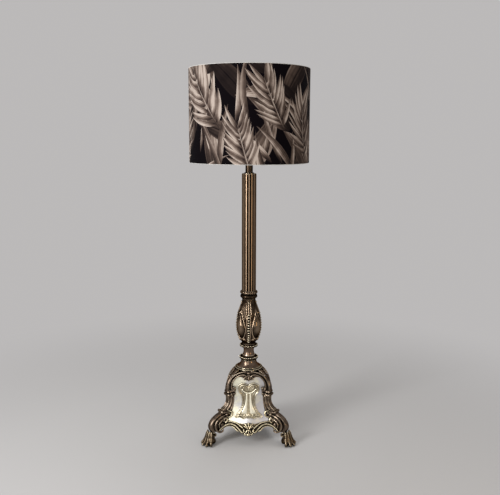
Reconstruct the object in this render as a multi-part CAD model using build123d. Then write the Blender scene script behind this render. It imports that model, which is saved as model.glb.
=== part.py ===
from build123d import *
import math
import os

# A tall cast brass candlestick lamp with a drum shade. Millimetres, +Z up.
# The origin is the middle of the three feet, on the surface that they stand on.
# The front is -Y: one of the three panels faces that way, and one leg points to the back.

# ---- heights of the stacked pieces
leg_seat = 32.5          # top of a paw, where the leg stands on it
shelf = 168.5            # underside of the legs' top lugs, where the clamp plate bears
shoulder = 187.5         # top of the legs, where the neck sits
neck_top = 210.5
lower_dish_top = 222.0
waist_top = 243.0
upper_dish_top = 252.5
baluster_top = 370.0
lower_collar_top = 382.5
upper_collar_top = 392.0
column_top = 686.5
cap_top = 690.0
tube_top = 724.0
holder_low = 744.0       # foot of the holder's threaded sleeve, level with the rod's end
holder_top = 786.0
core_low = 746.0         # the ceramic block
core_top = 756.0
fitter_low = 749.05      # the shade's fitter ring lies on the lower shade ring
upper_ring_low = 750.7
bulb_low = 758.5
bulb_cap_low = 762.5
bulb_cap_top = 783.5
bulb_top = 866.0
shade_bottom = 714.0
shade_top = 939.0

# ---- the base
sides = 3
band_height = 131.5      # the legs are narrower above the band at this height
lower_leg_width = 20.0   # a leg's side faces are flat and parallel, this far apart
upper_leg_width = 14.0
band_width = 25.0
panel_flat = 32.5        # axis to the panel's face, where the panel is upright
panel_thick = 2.5
panel_bend = 118.0       # below this height the panel flares out
panel_flare = 196.0      # radius of the flare
frame_proud = 4.0        # apron and arch stand this far in front of the panel
shield_proud = 3.2
rib_radius = 2.6         # half thickness of the C-scroll ribs
plate_thick = 3.0        # the clamp plate under the hub
paw_bolt_place = 104.0   # axis to the bolt that holds a paw
leg_bolt_place = 31.0    # axis to the bolt that holds a leg
ankle_place = 105.0      # axis to the point that a paw's toes fan out from
toe_step = 22.0          # degrees between two toes

# ---- the stem
rod_radius = 5.0
rod_bore = 4.0
rod_low = 150.0
slide_fit = 5.4          # bore of every piece threaded over the rod
column_radius = 18.1
column_bore = 14.5
flutes = 16
flute_radius = 2.6
flute_centre = 19.3
lobes = 4                # round bosses on the baluster
tube_radius = 9.2

# ---- the light
shade_radius = 147.0
fabric_thick = 0.4
lining_thick = 1.0
hem_turn = 5.0           # how far the fabric is turned in over a wire ring
wire_radius = 1.5
wire_gap = 0.02
arm_radius = 1.3
arm_rise = 10.0          # how far an arm stands up from the wire before it turns inwards
sleeve_radius = 19.5     # outside of the lamp holder's threaded sleeve
sleeve_bore = 17.6
shade_ring_height = 5.0
bulb_cap_radius = 13.0
bulb_radius = 30.0

# ---- worked out from the above
plate_low = shelf - plate_thick
lining_outer = shade_radius - fabric_thick
lining_inner = lining_outer - lining_thick
hem_outer = lining_inner - 2 * wire_radius - 0.3
hem_inner = hem_outer - fabric_thick
wire_centre = lining_inner - wire_radius - wire_gap
low_wire = shade_bottom + fabric_thick + wire_radius + wire_gap
high_wire = shade_top - fabric_thick - wire_radius - wire_gap


def outline(start, *moves):
    """A face: each move is a point, for a line, or a pair (middle, end), for an arc."""
    edges = []
    here = start
    for move in moves:
        if isinstance(move[0], tuple):
            middle, end = move
            edges.append(ThreePointArc(here, middle, end))
            here = end
        else:
            edges.append(Line(here, move))
            here = move
    if here != start:
        edges.append(Line(here, start))
    return make_face(edges)


def both_halves(*moves):
    """A face from the right half of its outline, which starts and ends on the centre line."""
    half = outline(*moves)
    return half + mirror(half, about=Plane.YZ)


def turned(start, *moves):
    """A piece turned about the lamp's axis, from its half section as (radius, height)."""
    return revolve(Plane.XZ * outline(start, *moves), Axis.Z)


def ring(inner, outer, low, high):
    return turned((inner, low), (outer, low), (outer, high), (inner, high))


def scroll(plane, start, heading, *points):
    """A smooth line of tangent arcs on a plane, as a C-scroll is drawn."""
    edges = []
    here = start
    tangent = Vector(*heading)
    for point in points:
        arc = TangentArc(here, point, tangent=tangent)
        edges.append(arc)
        here = point
        tangent = arc % 1
    return plane * (Curve() + edges)


def rib(path, radius):
    """A round rib along a path, with a ball at each end."""
    section = Plane(origin=path @ 0, z_dir=path % 0) * Circle(radius)
    solid = sweep(section, path=path)
    return solid + Pos(path @ 0) * Sphere(radius) + Pos(path @ 1) * Sphere(radius)


def main_body(solid):
    """The piece without the crumbs that a cut has left."""
    return max(solid.solids(), key=lambda item: item.volume)


def on_side(solid, number):
    """A piece made at the front, turned to side number 0, 1 or 2."""
    return Rot(0, 0, 360 / sides * number) * solid


def at_leg(solid, number):
    """A piece made along +X, turned to leg 0 (front right), 1 (back) or 2 (front left)."""
    return Rot(0, 0, 360 / sides * number - 30) * solid


# ---------------------------------------------------------------- legs and paws

def leg_side():
    """A leg seen from its side, as (distance from the axis, height)."""
    return outline(
        (20.0, shoulder), (34.0, shoulder),
        ((48.5, 180.5), (56.6, 166.0)),
        ((61.9, 150.5), (64.5, band_height)),
        ((68.2, 125.3), (63.6, 118.5)),
        ((64.0, 105.0), (73.0, 91.5)),
        (84.0, 88.0), ((86.8, 83.5), (84.5, 78.5)),
        ((103.5, 65.5), (112.7, 54.7)),
        ((114.2, 46.0), (110.0, leg_seat)),
        (98.0, leg_seat),
        ((90.0, 34.5), (82.0, 42.0)),
        ((62.0, 60.0), (50.0, 84.0)),
        ((42.5, 104.0), (42.0, 128.0)),
        (42.0, shelf), (20.0, shelf),
    )


def leg():
    """One leg casting along +X: a stepped back, a band, side scrolls, a hollow and bolt holes."""
    side = leg_side()
    stepped = ((2.4, 1.0), (1.0, 0.68), (0.0, 0.34))   # (set back, share of the width)
    above = Pos(60, 160) * Rectangle(120, 2 * (160 - band_height))
    body = Part()
    for set_back, share in stepped:
        layer = side & (Pos(-set_back, 0) * side)
        body += extrude(Plane.XZ * (layer - above), lower_leg_width / 2 * share, both=True)
        body += extrude(Plane.XZ * (layer & above), upper_leg_width / 2 * share, both=True)
    band = outline((48.0, 119.5), (63.6, 118.5), ((68.8, 125.3), (64.5, band_height)),
                   (48.0, 130.5))
    body += extrude(Plane.XZ * band, band_width / 2, both=True)
    curl = Pos(65.5, 76.0) * Circle(8.0)
    body += extrude(Plane.XZ * curl, lower_leg_width / 2 + 3.0, both=True)
    for cheek in (-1, 1):
        face = Plane(origin=(0, cheek * lower_leg_width / 2, 0), x_dir=(1, 0, 0), z_dir=(0, -1, 0))
        rim = scroll(face, (74.0, 72.5), (1, 0.1), (100.5, 63.0), (110.0, 47.0), (97.5, 37.0),
                     (85.0, 48.5), (94.0, 57.5), (100.0, 50.5), (94.5, 46.0))
        body += rib(rim, rib_radius)
    hollow = side & (Pos(-8.0, 0) * side) & (Pos(75, 106) * Rectangle(90, 100))
    body -= extrude(Plane.XZ * hollow, 4.5, both=True)
    body -= Pos(leg_bolt_place, 0, shelf + 6.5) * Cylinder(2.5, 13.0)
    body -= Pos(paw_bolt_place, 0, leg_seat + 7.0) * Cylinder(2.0, 14.0)
    return body


def toe(number):
    """One toe of a paw, from -2 to 2: it runs from the instep over a knuckle to a round tip."""
    turn = math.radians(toe_step * number)
    length = 28.5 - number ** 2
    places = []
    for reach, height in ((7.0, 25.0), (19.0, 10.5), (length, 4.0)):
        places.append(Vector(ankle_place + reach * math.cos(turn), reach * math.sin(turn), height))
    instep, knuckle, tip = places
    bone = Part()
    for near, far, radius in ((instep, knuckle, 3.6), (knuckle, tip, 3.9)):
        run = far - near
        bone += Plane(origin=near, z_dir=run) * extrude(Circle(radius), run.length)
    return bone + Pos(instep) * Sphere(3.6) + Pos(knuckle) * Sphere(4.5) + Pos(tip) * Sphere(4.0)


def paw():
    """A lion's paw along +X: a swelling ankle over five spread toes, flat underneath."""
    ankle = Pos(104.5, 0, leg_seat) * Ellipse(8.5, 9.0)
    instep = Pos(108.5, 0, 19.0) * Ellipse(12.0, 12.0)
    sole = Pos(112.0, 0, 0) * Ellipse(15.0, 15.0)
    body = loft([sole, instep, ankle])
    for number in (-2, -1, 0, 1, 2):
        body += toe(number)
    body &= Pos(110, 0, leg_seat / 2) * Box(80, 60, leg_seat)
    body -= Pos(paw_bolt_place, 0, leg_seat / 2) * Cylinder(2.2, leg_seat)
    body -= Pos(paw_bolt_place, 0, 2.5) * Cylinder(4.2, 5.0)
    return body


def paw_bolts():
    """The three bolts that come up through the paws into the legs."""
    shank = Pos(paw_bolt_place, 0, 24.5) * Cylinder(1.95, 40.0)
    head = Pos(paw_bolt_place, 0, 3.0) * Cylinder(3.9, 4.0)
    slot = Pos(paw_bolt_place, 0, 1.5) * Box(9.0, 1.0, 1.0)
    bolt = shank + head - slot
    return [at_leg(bolt, number) for number in range(sides)]


# ---------------------------------------------------------------- panels between the legs

def face_distance(height, proud=0.0):
    """Axis to the panel's face, or to a surface this far in front of it, at a height."""
    if height >= panel_bend:
        return panel_flat + proud
    drop = panel_bend - height
    return panel_flat + panel_flare - math.sqrt((panel_flare - proud) ** 2 - drop ** 2)


def skin(back, front, low=14.0, high=shoulder):
    """All that lies between two surfaces parallel to the panel's face, seen from the side."""
    half_way = (panel_bend + low) / 2
    side = outline(
        (panel_flat + back, high), (panel_flat + back, panel_bend),
        ((face_distance(half_way, back), half_way), (face_distance(low, back), low)),
        (face_distance(low, front), low),
        ((face_distance(half_way, front), half_way), (panel_flat + front, panel_bend)),
        (panel_flat + front, high),
    )
    upright = Plane(origin=(0, 0, 0), x_dir=(0, -1, 0), z_dir=(-1, 0, 0))
    return extrude(upright * side, 100, both=True)


def bay():
    """The wedge of space between the flat side faces of the two front legs."""
    wedge = Part()
    reach = 95.0
    for width, low, high in ((lower_leg_width, 0.0, band_height),
                             (upper_leg_width, band_height, shoulder)):
        apex = width / 2 / math.sin(math.radians(60))
        half = (reach - apex) * math.tan(math.radians(60))
        plan = Polygon((0, -apex), (-half, -reach), (half, -reach), align=None)
        wedge += Pos(0, 0, low) * extrude(plan, high - low)
    return wedge


def seen_from_front(face):
    """A front outline, pushed out to both sides of the panel's face."""
    return extrude(Plane.XZ * face, 95.0, dir=(0, -1, 0))


def panel(legs):
    """A bright plate, which stands in a rebate behind the arch and the apron."""
    plate = both_halves((0, 49.0), (70.0, 49.0), (70.0, 176.0), (0, 176.0))
    solid = seen_from_front(plate) & skin(-panel_thick, 0.0) & bay()
    return solid - legs


def arch(legs, plate):
    """The frame over a panel: a web, two C-scrolls that meet at a rosette, and a drop."""
    web = both_halves(
        (0, 159.0), (7.0, 161.0), ((13.5, 168.5), (23.0, 171.0)),
        ((36.5, 167.0), (42.2, 155.0)), ((42.0, 149.5), (39.0, 145.5)),
        ((33.8, 140.5), (36.5, 133.5)), (60.0, 133.5), (60.0, 172.0),
        (44.0, 176.0), ((24.0, 184.5), (0, 187.0)),
    )
    solid = seen_from_front(web) & skin(-panel_thick - 3.0, frame_proud) & bay()
    front = Plane(origin=(0, -panel_flat - frame_proud, 0), x_dir=(1, 0, 0), z_dir=(0, -1, 0))
    path = scroll(front, (9.0, 168.0), (0.2, 1), (17.5, 176.0), (34.0, 173.0), (45.3, 157.0),
                  (44.5, 144.0), (39.5, 138.0), (37.0, 143.0))
    swept = rib(path, rib_radius)
    solid += swept + mirror(swept, about=Plane.YZ)
    solid += Pos(0, -panel_flat - frame_proud, 180.5) * Sphere(4.6)
    solid += Pos(0, -panel_flat - frame_proud + 1.5, 163.5) * scale(Sphere(1), by=(3.4, 3.4, 6.0))
    solid &= Pos(0, 0, 150) * Box(200, 200, 2 * (shoulder - 150))
    return main_body(solid - legs - plate)


def apron(legs, plate):
    """The scalloped lower edge: a moulding that runs into a shell and a drop at the middle."""
    band = both_halves(
        (0, 53.0), (12.5, 49.5), ((21.0, 53.5), (30.0, 55.5)), (64.0, 58.0), (92.0, 58.0),
        (92.0, 30.0), (79.0, 31.0), ((66.0, 42.5), (50.0, 46.5)),
        ((37.0, 43.5), (27.0, 35.5)), (18.0, 30.0), ((11.0, 24.0), (4.0, 22.0)), (0, 21.5),
    )
    solid = seen_from_front(band) & skin(-panel_thick, frame_proud) & bay()
    lean = Vector(0, face_distance(54) - face_distance(22), 32)
    slope = Plane(origin=(0, -face_distance(42, frame_proud), 42), x_dir=(1, 0, 0),
                  z_dir=(0, -lean.Z, -lean.Y))
    lower = scroll(slope, (74.0, -7.5), (-1, 1.1), (52.0, 5.5), (34.0, 1.5), (21.0, -9.0),
                   (14.5, -12.5), (12.5, -7.5))
    upper = scroll(slope, (31.0, 11.5), (-1, -0.1), (20.0, 6.0), (11.0, -4.0), (6.5, -3.0))
    for path in (lower, upper):
        swept = rib(path, rib_radius - 0.6)
        solid += swept + mirror(swept, about=Plane.YZ)
    solid += slope * Pos(0, 4.5, 0) * Sphere(4.2)
    solid += slope * Pos(0, -17.0, -1.0) * scale(Sphere(1), by=(4.6, 5.6, 4.2))
    return main_body(solid - legs - plate)


def shield():
    """The raised cartouche on a panel: a waisted plate with a rim, two long lobes and a swag."""
    edge = both_halves(
        (0, 149.5), ((7.0, 154.0), (16.5, 155.0)), ((25.0, 149.5), (28.0, 137.5)),
        (26.0, 129.5), (20.5, 124.5), ((14.3, 103.0), (23.0, 80.0)),
        (34.0, 71.0), ((36.6, 67.0), (31.5, 63.5)), ((23.0, 64.0), (14.0, 61.0)), (0, 63.0),
    )
    field = both_halves(
        (0, 145.5), ((9.0, 150.0), (17.0, 150.5)), ((22.5, 145.0), (24.0, 137.0)),
        (22.0, 131.5), (16.5, 125.5), ((10.6, 103.0), (19.5, 79.0)),
        (29.0, 70.0), ((22.0, 69.3), (14.0, 65.5)), (0, 67.5),
    )
    lobe = outline(
        (1.6, 127.0), ((8.6, 118.0), (7.0, 103.0)), ((8.8, 90.0), (9.6, 82.0)),
        ((5.0, 78.5), (1.6, 84.0)),
    )
    solid = seen_from_front(edge) & skin(0.0, 1.6)
    solid += seen_from_front(field) & skin(0.0, shield_proud)
    cut = seen_from_front(lobe + mirror(lobe, about=Plane.YZ)) & skin(1.6, 6.0)
    solid -= cut
    front = Plane(origin=(0, -panel_flat - shield_proud, 0), x_dir=(1, 0, 0), z_dir=(0, -1, 0))
    swag = scroll(front, (-18.0, 140.0), (0.6, -1), (0, 131.5), (18.0, 140.0))
    return solid + (rib(swag, 1.4) & skin(0.5, 12.0))


# ---------------------------------------------------------------- the middle of the base

def base_hub():
    """The six-sided block that the legs butt against."""
    block = extrude(RegularPolygon(20.0, 6, major_radius=False, rotation=0), shoulder - shelf)
    return Pos(0, 0, shelf) * (block - Pos(0, 0, 10) * Cylinder(slide_fit, 40))


def clamp_plate():
    """The steel plate under the hub that draws the legs up, cut clear of the panels."""
    disc = Circle(40.0)
    for number in range(sides):
        disc &= Rot(0, 0, 120 * number) * Pos(0, 74.0) * Rectangle(200, 200)
    plate = Pos(0, 0, plate_low) * extrude(disc, plate_thick)
    plate -= Pos(0, 0, shelf) * Cylinder(slide_fit, 20)
    for number in range(sides):
        plate -= at_leg(Pos(leg_bolt_place, 0, shelf) * Cylinder(2.6, 20), number)
    return plate


def leg_bolts():
    """The three bolts that come up through the clamp plate into the legs."""
    shank = Pos(leg_bolt_place, 0, plate_low + 7.0) * Cylinder(2.45, 14.0)
    hexagon = RegularPolygon(4.0, 6, major_radius=False)
    head = Pos(leg_bolt_place, 0, plate_low - 4.0) * extrude(hexagon, 4.0)
    return [at_leg(shank + head, number) for number in range(sides)]


def rod_washer():
    return ring(slide_fit, 11.0, plate_low - 2.0, plate_low)


def rod_nut():
    low = plate_low - 10.0
    nut = Pos(0, 0, low) * extrude(RegularPolygon(8.5, 6, major_radius=False), 8.0)
    return nut - Pos(0, 0, low) * Cylinder(rod_radius + 0.05, 30)


def threaded_rod():
    """The hollow rod that every piece of the stem is threaded over; the flex runs inside it."""
    return ring(rod_bore, rod_radius, rod_low, holder_low)


def cord_bush():
    """The plastic bush in the rod's lower end, which the flex comes out of."""
    low, high = rod_low - 2.5, rod_low + 10.0
    return turned((3.2, low), (5.0, low), (5.0, rod_low), (3.95, rod_low), (3.95, high),
                  (3.2, high))


# ---------------------------------------------------------------- the stem, bottom to top

def base_neck():
    return turned(
        (slide_fit, shoulder), (34.0, shoulder), ((35.0, 188.7), (34.0, 190.0)),
        (30.8, 190.4), ((31.3, 191.6), (30.2, 192.8)), (28.0, 193.2),
        ((22.2, 200.0), (19.2, neck_top)), (slide_fit, neck_top),
    )


def lower_dish():
    return turned(
        (slide_fit, neck_top), (19.2, neck_top), (22.4, 212.4),
        ((24.2, 215.0), (22.6, 217.4)), (20.2, 218.0), ((17.4, 219.2), (16.2, lower_dish_top)),
        (slide_fit, lower_dish_top),
    )


def waist():
    return turned(
        (slide_fit, lower_dish_top), (16.0, lower_dish_top), ((13.2, 233.0), (15.5, waist_top)),
        (slide_fit, waist_top),
    )


def upper_dish():
    return turned(
        (slide_fit, waist_top), (15.7, waist_top), (21.4, 244.4),
        ((23.4, 246.6), (21.8, 248.8)), (19.6, 249.4), ((18.0, 250.4), (17.4, upper_dish_top)),
        (slide_fit, upper_dish_top),
    )


def baluster_section():
    """Half section of the baluster's plain body, which is hollow."""
    return outline(
        (slide_fit, upper_dish_top), (17.4, upper_dish_top), (18.2, 256.5),
        ((25.0, 266.0), (29.6, 283.0)), ((31.0, 300.0), (28.4, 321.0)),
        ((22.5, 345.0), (16.6, 362.0)), (17.1, 364.0), (17.1, baluster_top),
        (slide_fit, baluster_top), (slide_fit, 364.0), (12.0, 360.0),
        ((20.0, 330.0), (22.5, 300.0)), ((21.0, 280.0), (14.0, 262.0)), (slide_fit, 258.0),
    )


def baluster():
    """The swelling knop: a hollow body with round bosses, and a rib between each two."""
    body = revolve(Plane.XZ * baluster_section(), Axis.Z)
    boss = Pos(21.0, 0, 297.0) * scale(Sphere(1), by=(12.4, 12.5, 27.0))
    rise = scroll(Plane.XZ, (22.5, 262.0), (0.5, 1), (30.6, 290.0), (28.6, 321.0), (18.0, 358.0))
    strip = rib(rise, 2.4)
    for number in range(lobes):
        turn = 360 / lobes * number
        body += Rot(0, 0, turn + 45) * boss
        body += Rot(0, 0, turn) * strip
    return body - Pos(0, 0, 310) * Cylinder(12.0, 95.0)


def lower_collar():
    return turned(
        (slide_fit, baluster_top), (17.1, baluster_top), (18.6, 372.5),
        ((21.9, 377.0), (18.8, 381.6)), (18.2, lower_collar_top), (slide_fit, lower_collar_top),
    )


def upper_collar():
    return turned(
        (slide_fit, lower_collar_top), (18.2, lower_collar_top), (19.2, 383.4),
        ((22.3, 387.2), (19.4, 391.0)), (18.6, upper_collar_top), (slide_fit, upper_collar_top),
    )


def column():
    """The fluted tube."""
    section = Circle(column_radius) - Circle(column_bore)
    for number in range(flutes):
        angle = math.radians(360 / flutes * (number + 0.5))
        place = Pos(flute_centre * math.cos(angle), flute_centre * math.sin(angle))
        section -= place * Circle(flute_radius)
    return Pos(0, 0, upper_collar_top) * extrude(section, column_top - upper_collar_top)


def centring_discs():
    """The two discs that keep the column central on the rod, one at each end."""
    low = ring(slide_fit, column_bore - 0.1, upper_collar_top, upper_collar_top + 5.0)
    return [low, Pos(0, 0, column_top - upper_collar_top - 5.0) * low]


def column_cap():
    return turned(
        (slide_fit, column_top), (17.5, column_top), (17.5, 687.8), (12.4, 688.2),
        ((12.1, 689.7), (10.8, cap_top)), (slide_fit, cap_top),
    )


def neck_tube():
    return ring(slide_fit, tube_radius, cap_top, tube_top)


# ---------------------------------------------------------------- the lamp holder

def holder_cap():
    """The holder's metal cap, screwed on the rod."""
    return turned(
        (rod_radius + 0.05, tube_top), (9.8, tube_top), ((16.5, 729.0), (20.0, 738.0)),
        (21.5, 740.0), (21.5, holder_low), (sleeve_bore, holder_low), (sleeve_bore, 739.0),
        ((14.5, 731.5), (9.0, 728.5)),
        (9.0, 734.0), (rod_radius + 0.05, 734.0),
    )


def holder_sleeve():
    """The threaded outer sleeve, which both shade rings screw on."""
    return ring(sleeve_bore, sleeve_radius, holder_low, holder_top)


def holder_core():
    """The ceramic block inside the holder, with a boss that stands on the rod's end."""
    block = ring(5.0, sleeve_bore - 0.1, core_low, core_top)
    return block + ring(rod_bore + 0.2, 12.0, holder_low, core_low)


def screw_shell():
    """The brass shell that the bulb screws into."""
    return ring(13.4, 14.0, core_top, core_top + 27.0)


def centre_contact():
    """The sprung strip under the bulb's tip."""
    strip = outline((-9.0, 0), (9.0, 0), (9.0, 0.6), (4.0, 0.6), ((1.5, 2.0), (0, 2.2)),
                    ((-1.5, 2.0), (-4.0, 0.6)), (-9.0, 0.6))
    return Pos(0, 0, core_top) * extrude(Plane.XZ * strip, 2.5, both=True)


def shade_ring(low):
    """A threaded ring with finger notches round its rim."""
    body = ring(sleeve_radius + 0.1, 25.8, low, low + shade_ring_height)
    notch = Pos(26.6, 0, low) * Cylinder(2.0, 4 * shade_ring_height)
    for number in range(12):
        body -= Rot(0, 0, 30 * number) * notch
    return body


# ---------------------------------------------------------------- the bulb

def bulb_glass():
    """A pear-shaped bulb: a neck that flows into a ball."""
    centre = bulb_top - bulb_radius
    join = 17.5
    below = math.sqrt(bulb_radius ** 2 - join ** 2)
    return turned(
        (0, bulb_cap_top), (12.6, bulb_cap_top), (12.6, 790.0), ((13.9, 801.0), (join, centre - below)),
        ((bulb_radius, centre), (0, centre + bulb_radius)),
    )


def bulb_cap():
    return turned((0, bulb_cap_low), (9.0, bulb_cap_low), (bulb_cap_radius, bulb_cap_low + 3.0),
                  (bulb_cap_radius, bulb_cap_top), (0, bulb_cap_top))


def bulb_insulator():
    low = bulb_low + 1.5
    return turned((0, low), (5.0, low), (9.0, bulb_cap_low), (0, bulb_cap_low))


def bulb_tip():
    high = bulb_low + 1.5
    return turned((0, bulb_low), (3.0, bulb_low), (4.5, bulb_low + 0.8), (4.5, high), (0, high))


# ---------------------------------------------------------------- the shade

def shade_fabric():
    """The printed cloth, turned in over the wire ring at each end."""
    low, high = shade_bottom, shade_top
    return turned(
        (shade_radius, low), (shade_radius, high), (hem_inner, high), (hem_inner, high - hem_turn),
        (hem_outer, high - hem_turn), (hem_outer, high - fabric_thick),
        (lining_outer, high - fabric_thick), (lining_outer, low + fabric_thick),
        (hem_outer, low + fabric_thick), (hem_outer, low + hem_turn),
        (hem_inner, low + hem_turn), (hem_inner, low),
    )


def shade_lining():
    return ring(lining_inner, lining_outer, shade_bottom + fabric_thick,
                shade_top - fabric_thick)


def top_ring():
    return Pos(0, 0, high_wire) * Torus(wire_centre, wire_radius)


def shade_carrier():
    """The welded lower frame: a wire ring, three arms that rise, and the fitter ring."""
    frame = Pos(0, 0, low_wire) * Torus(wire_centre, wire_radius)
    frame += ring(20.2, 29.0, fitter_low, fitter_low + 1.6)
    points = [(wire_centre, low_wire), (wire_centre, low_wire + arm_rise), (28.0, fitter_low + 0.8)]
    path = Plane.XZ * FilletPolyline(*points, radius=7.0)
    arm = sweep(Plane(origin=path @ 0, z_dir=path % 0) * Circle(arm_radius), path=path)
    for number in range(sides):
        frame += Rot(0, 0, 120 * number + 90) * arm
    return frame


# ---------------------------------------------------------------- writing

def write(name, shape):
    """Writes a piece, or a group of alike pieces, as one file."""
    if isinstance(shape, list):
        solids = [solid for item in shape for solid in item.solids()]
    else:
        solids = list(shape.solids())
    whole = solids[0] if len(solids) == 1 else Compound(children=solids)
    export_step(whole, f"parts/{name}.step")


def main():
    os.makedirs("parts", exist_ok=True)
    one_leg = leg()
    legs = at_leg(one_leg, 0) + at_leg(one_leg, 2)
    one_paw = paw()
    one_panel = panel(legs)
    one_arch = arch(legs, one_panel)
    one_apron = apron(legs, one_panel)
    one_shield = shield()
    for number in range(sides):
        write(f"leg_{number + 1}", at_leg(one_leg, number))
        write(f"paw_{number + 1}", at_leg(one_paw, number))
        write(f"panel_{number + 1}", on_side(one_panel, number))
        write(f"arch_{number + 1}", on_side(one_arch, number))
        write(f"apron_{number + 1}", on_side(one_apron, number))
        write(f"shield_{number + 1}", on_side(one_shield, number))
    write("paw_bolts", paw_bolts())
    write("leg_bolts", leg_bolts())
    write("centring_discs", centring_discs())
    for piece in (base_hub, clamp_plate, rod_washer, rod_nut, threaded_rod, cord_bush,
                  base_neck, lower_dish, waist, upper_dish, baluster, lower_collar,
                  upper_collar, column, column_cap, neck_tube, holder_cap, holder_sleeve,
                  holder_core, screw_shell, centre_contact, bulb_glass, bulb_cap,
                  bulb_insulator, bulb_tip, shade_fabric, shade_lining, top_ring,
                  shade_carrier):
        write(piece.__name__, piece())
    write("lower_shade_ring", shade_ring(holder_low))
    write("upper_shade_ring", shade_ring(upper_ring_low))


main()
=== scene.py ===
import bpy
import bmesh
import math
import random
import numpy as np
from mathutils import Matrix, Vector, geometry


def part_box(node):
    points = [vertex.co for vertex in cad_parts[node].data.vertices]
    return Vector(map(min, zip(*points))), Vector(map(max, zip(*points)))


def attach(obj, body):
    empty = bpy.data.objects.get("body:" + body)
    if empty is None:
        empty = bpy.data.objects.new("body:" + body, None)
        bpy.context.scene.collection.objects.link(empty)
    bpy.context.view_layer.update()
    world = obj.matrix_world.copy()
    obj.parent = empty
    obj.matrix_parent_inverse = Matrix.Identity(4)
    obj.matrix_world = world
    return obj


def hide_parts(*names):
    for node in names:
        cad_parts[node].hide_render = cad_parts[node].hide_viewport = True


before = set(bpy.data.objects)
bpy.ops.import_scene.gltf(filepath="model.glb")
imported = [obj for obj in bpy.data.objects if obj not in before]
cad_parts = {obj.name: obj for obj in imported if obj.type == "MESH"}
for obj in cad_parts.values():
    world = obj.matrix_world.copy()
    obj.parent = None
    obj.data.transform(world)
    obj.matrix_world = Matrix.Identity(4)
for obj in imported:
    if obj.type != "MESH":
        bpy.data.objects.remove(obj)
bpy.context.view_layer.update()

mm = 0.001
flat = 1e-5  # closer than this counts as touching


# small helpers for meshes

def polar(radius, angle, height):
    return Vector((radius * math.cos(angle), radius * math.sin(angle), height))


def smoothPath(points, perSpan=6):
    # a curve through the points; each may carry a thickness as its last number
    padded = [points[0]] + list(points) + [points[-1]]
    path = []
    for i in range(len(points) - 1):
        a, b, c, d = (np.array(p, float) for p in padded[i:i + 4])
        for k in range(perSpan):
            t = k / perSpan
            path.append(0.5 * (2 * b + (c - a) * t + (2 * a - 5 * b + 4 * c - d) * t ** 2
                               + (3 * b - a - 3 * c + d) * t ** 3))
    path.append(np.array(points[-1], float))
    return path


def newBlob():
    return {"points": [], "faces": []}


def addRings(blob, rings):
    # a closed skin over rings of points, which starts and ends in a point
    start = len(blob["points"])
    count = len(rings[0])
    blob["points"].append(sum(rings[0], Vector()) / count)
    for ring in rings:
        blob["points"].extend(ring)
    blob["points"].append(sum(rings[-1], Vector()) / count)
    last = len(blob["points"]) - 1
    for k in range(count):
        n = (k + 1) % count
        blob["faces"].append((start, start + 1 + n, start + 1 + k))
        blob["faces"].append((last, last - count + k, last - count + n))
    for row in range(len(rings) - 1):
        low = start + 1 + row * count
        for k in range(count):
            n = (k + 1) % count
            blob["faces"].append((low + k, low + n, low + count + n, low + count + k))


def addTube(blob, centres, radii, around=8):
    # a round rib with round ends
    centres = [Vector(c) for c in centres]
    tangents = [(centres[min(i + 1, len(centres) - 1)] - centres[max(i - 1, 0)]).normalized()
                for i in range(len(centres))]
    side = tangents[0].orthogonal().normalized()
    turns = [2 * math.pi * k / around for k in range(around)]
    rings = []

    def ringAt(centre, tangent, radius):
        up = tangent.cross(side)
        return [centre + (side * math.cos(turn) + up * math.sin(turn)) * radius for turn in turns]

    def roundEnd(i, way, leans):
        for a in map(math.radians, leans):
            rings.append(ringAt(centres[i] + tangents[i] * radii[i] * math.sin(a) * way, tangents[i],
                                radii[i] * math.cos(a)))

    side = (side - tangents[0] * side.dot(tangents[0])).normalized()
    roundEnd(0, -1, (80, 50, 25))
    for centre, tangent, radius in zip(centres, tangents, radii):
        side = (side - tangent * side.dot(tangent)).normalized()
        rings.append(ringAt(centre, tangent, radius))
    roundEnd(-1, 1, (25, 50, 80))
    addRings(blob, rings)


def addBall(blob, centre, size):
    rings = []
    turns = [2 * math.pi * k / 14 for k in range(14)]
    for row in range(1, 8):
        rise = math.pi * row / 8
        rings.append([Vector(centre) + Vector((size[0] * math.sin(rise) * math.cos(turn),
                                               size[1] * math.sin(rise) * math.sin(turn),
                                               -size[2] * math.cos(rise))) for turn in turns])
    addRings(blob, rings)


def addLobe(blob, centres, normals, halfWidths, heights):
    # like a rib, but wide and low: it lies on the surface that the normals stand on
    rings = []
    turns = [2 * math.pi * k / 16 for k in range(16)]
    count = len(centres)
    for i in range(count):
        tangent = (centres[min(i + 1, count - 1)] - centres[max(i - 1, 0)]).normalized()
        side = tangent.cross(normals[i]).normalized()
        rings.append([centres[i] + side * (halfWidths[i] * math.cos(turn))
                      + normals[i] * (heights[i] * math.sin(turn)) for turn in turns])
    addRings(blob, rings)


def addSlab(blob, outline, place, back, front, cell=5.0):
    # a plate of this outline, cut into strips so that it can follow a curved surface
    bm = bmesh.new()
    face = bm.faces.new([bm.verts.new((x, z, back)) for x, z in outline])
    made = bmesh.ops.extrude_face_region(bm, geom=[face])
    for item in made["geom"]:
        if isinstance(item, bmesh.types.BMVert):
            item.co.z = front
    lows = [min(p[k] for p in outline) for k in (0, 1)]
    highs = [max(p[k] for p in outline) for k in (0, 1)]
    for axis in (0, 1):
        normal = Vector((1 - axis, axis, 0))
        for n in range(1, int((highs[axis] - lows[axis]) / cell) + 1):
            at = normal * (lows[axis] + n * cell + 0.013)
            bmesh.ops.bisect_plane(bm, geom=bm.verts[:] + bm.edges[:] + bm.faces[:], dist=flat,
                                   plane_co=at, plane_no=normal)
    bmesh.ops.recalc_face_normals(bm, faces=bm.faces[:])
    bm.verts.index_update()
    start = len(blob["points"])
    blob["points"].extend(place(v.co.x, v.co.y, v.co.z) for v in bm.verts)
    blob["faces"].extend(tuple(start + v.index for v in f.verts) for f in bm.faces)
    bm.free()


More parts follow.
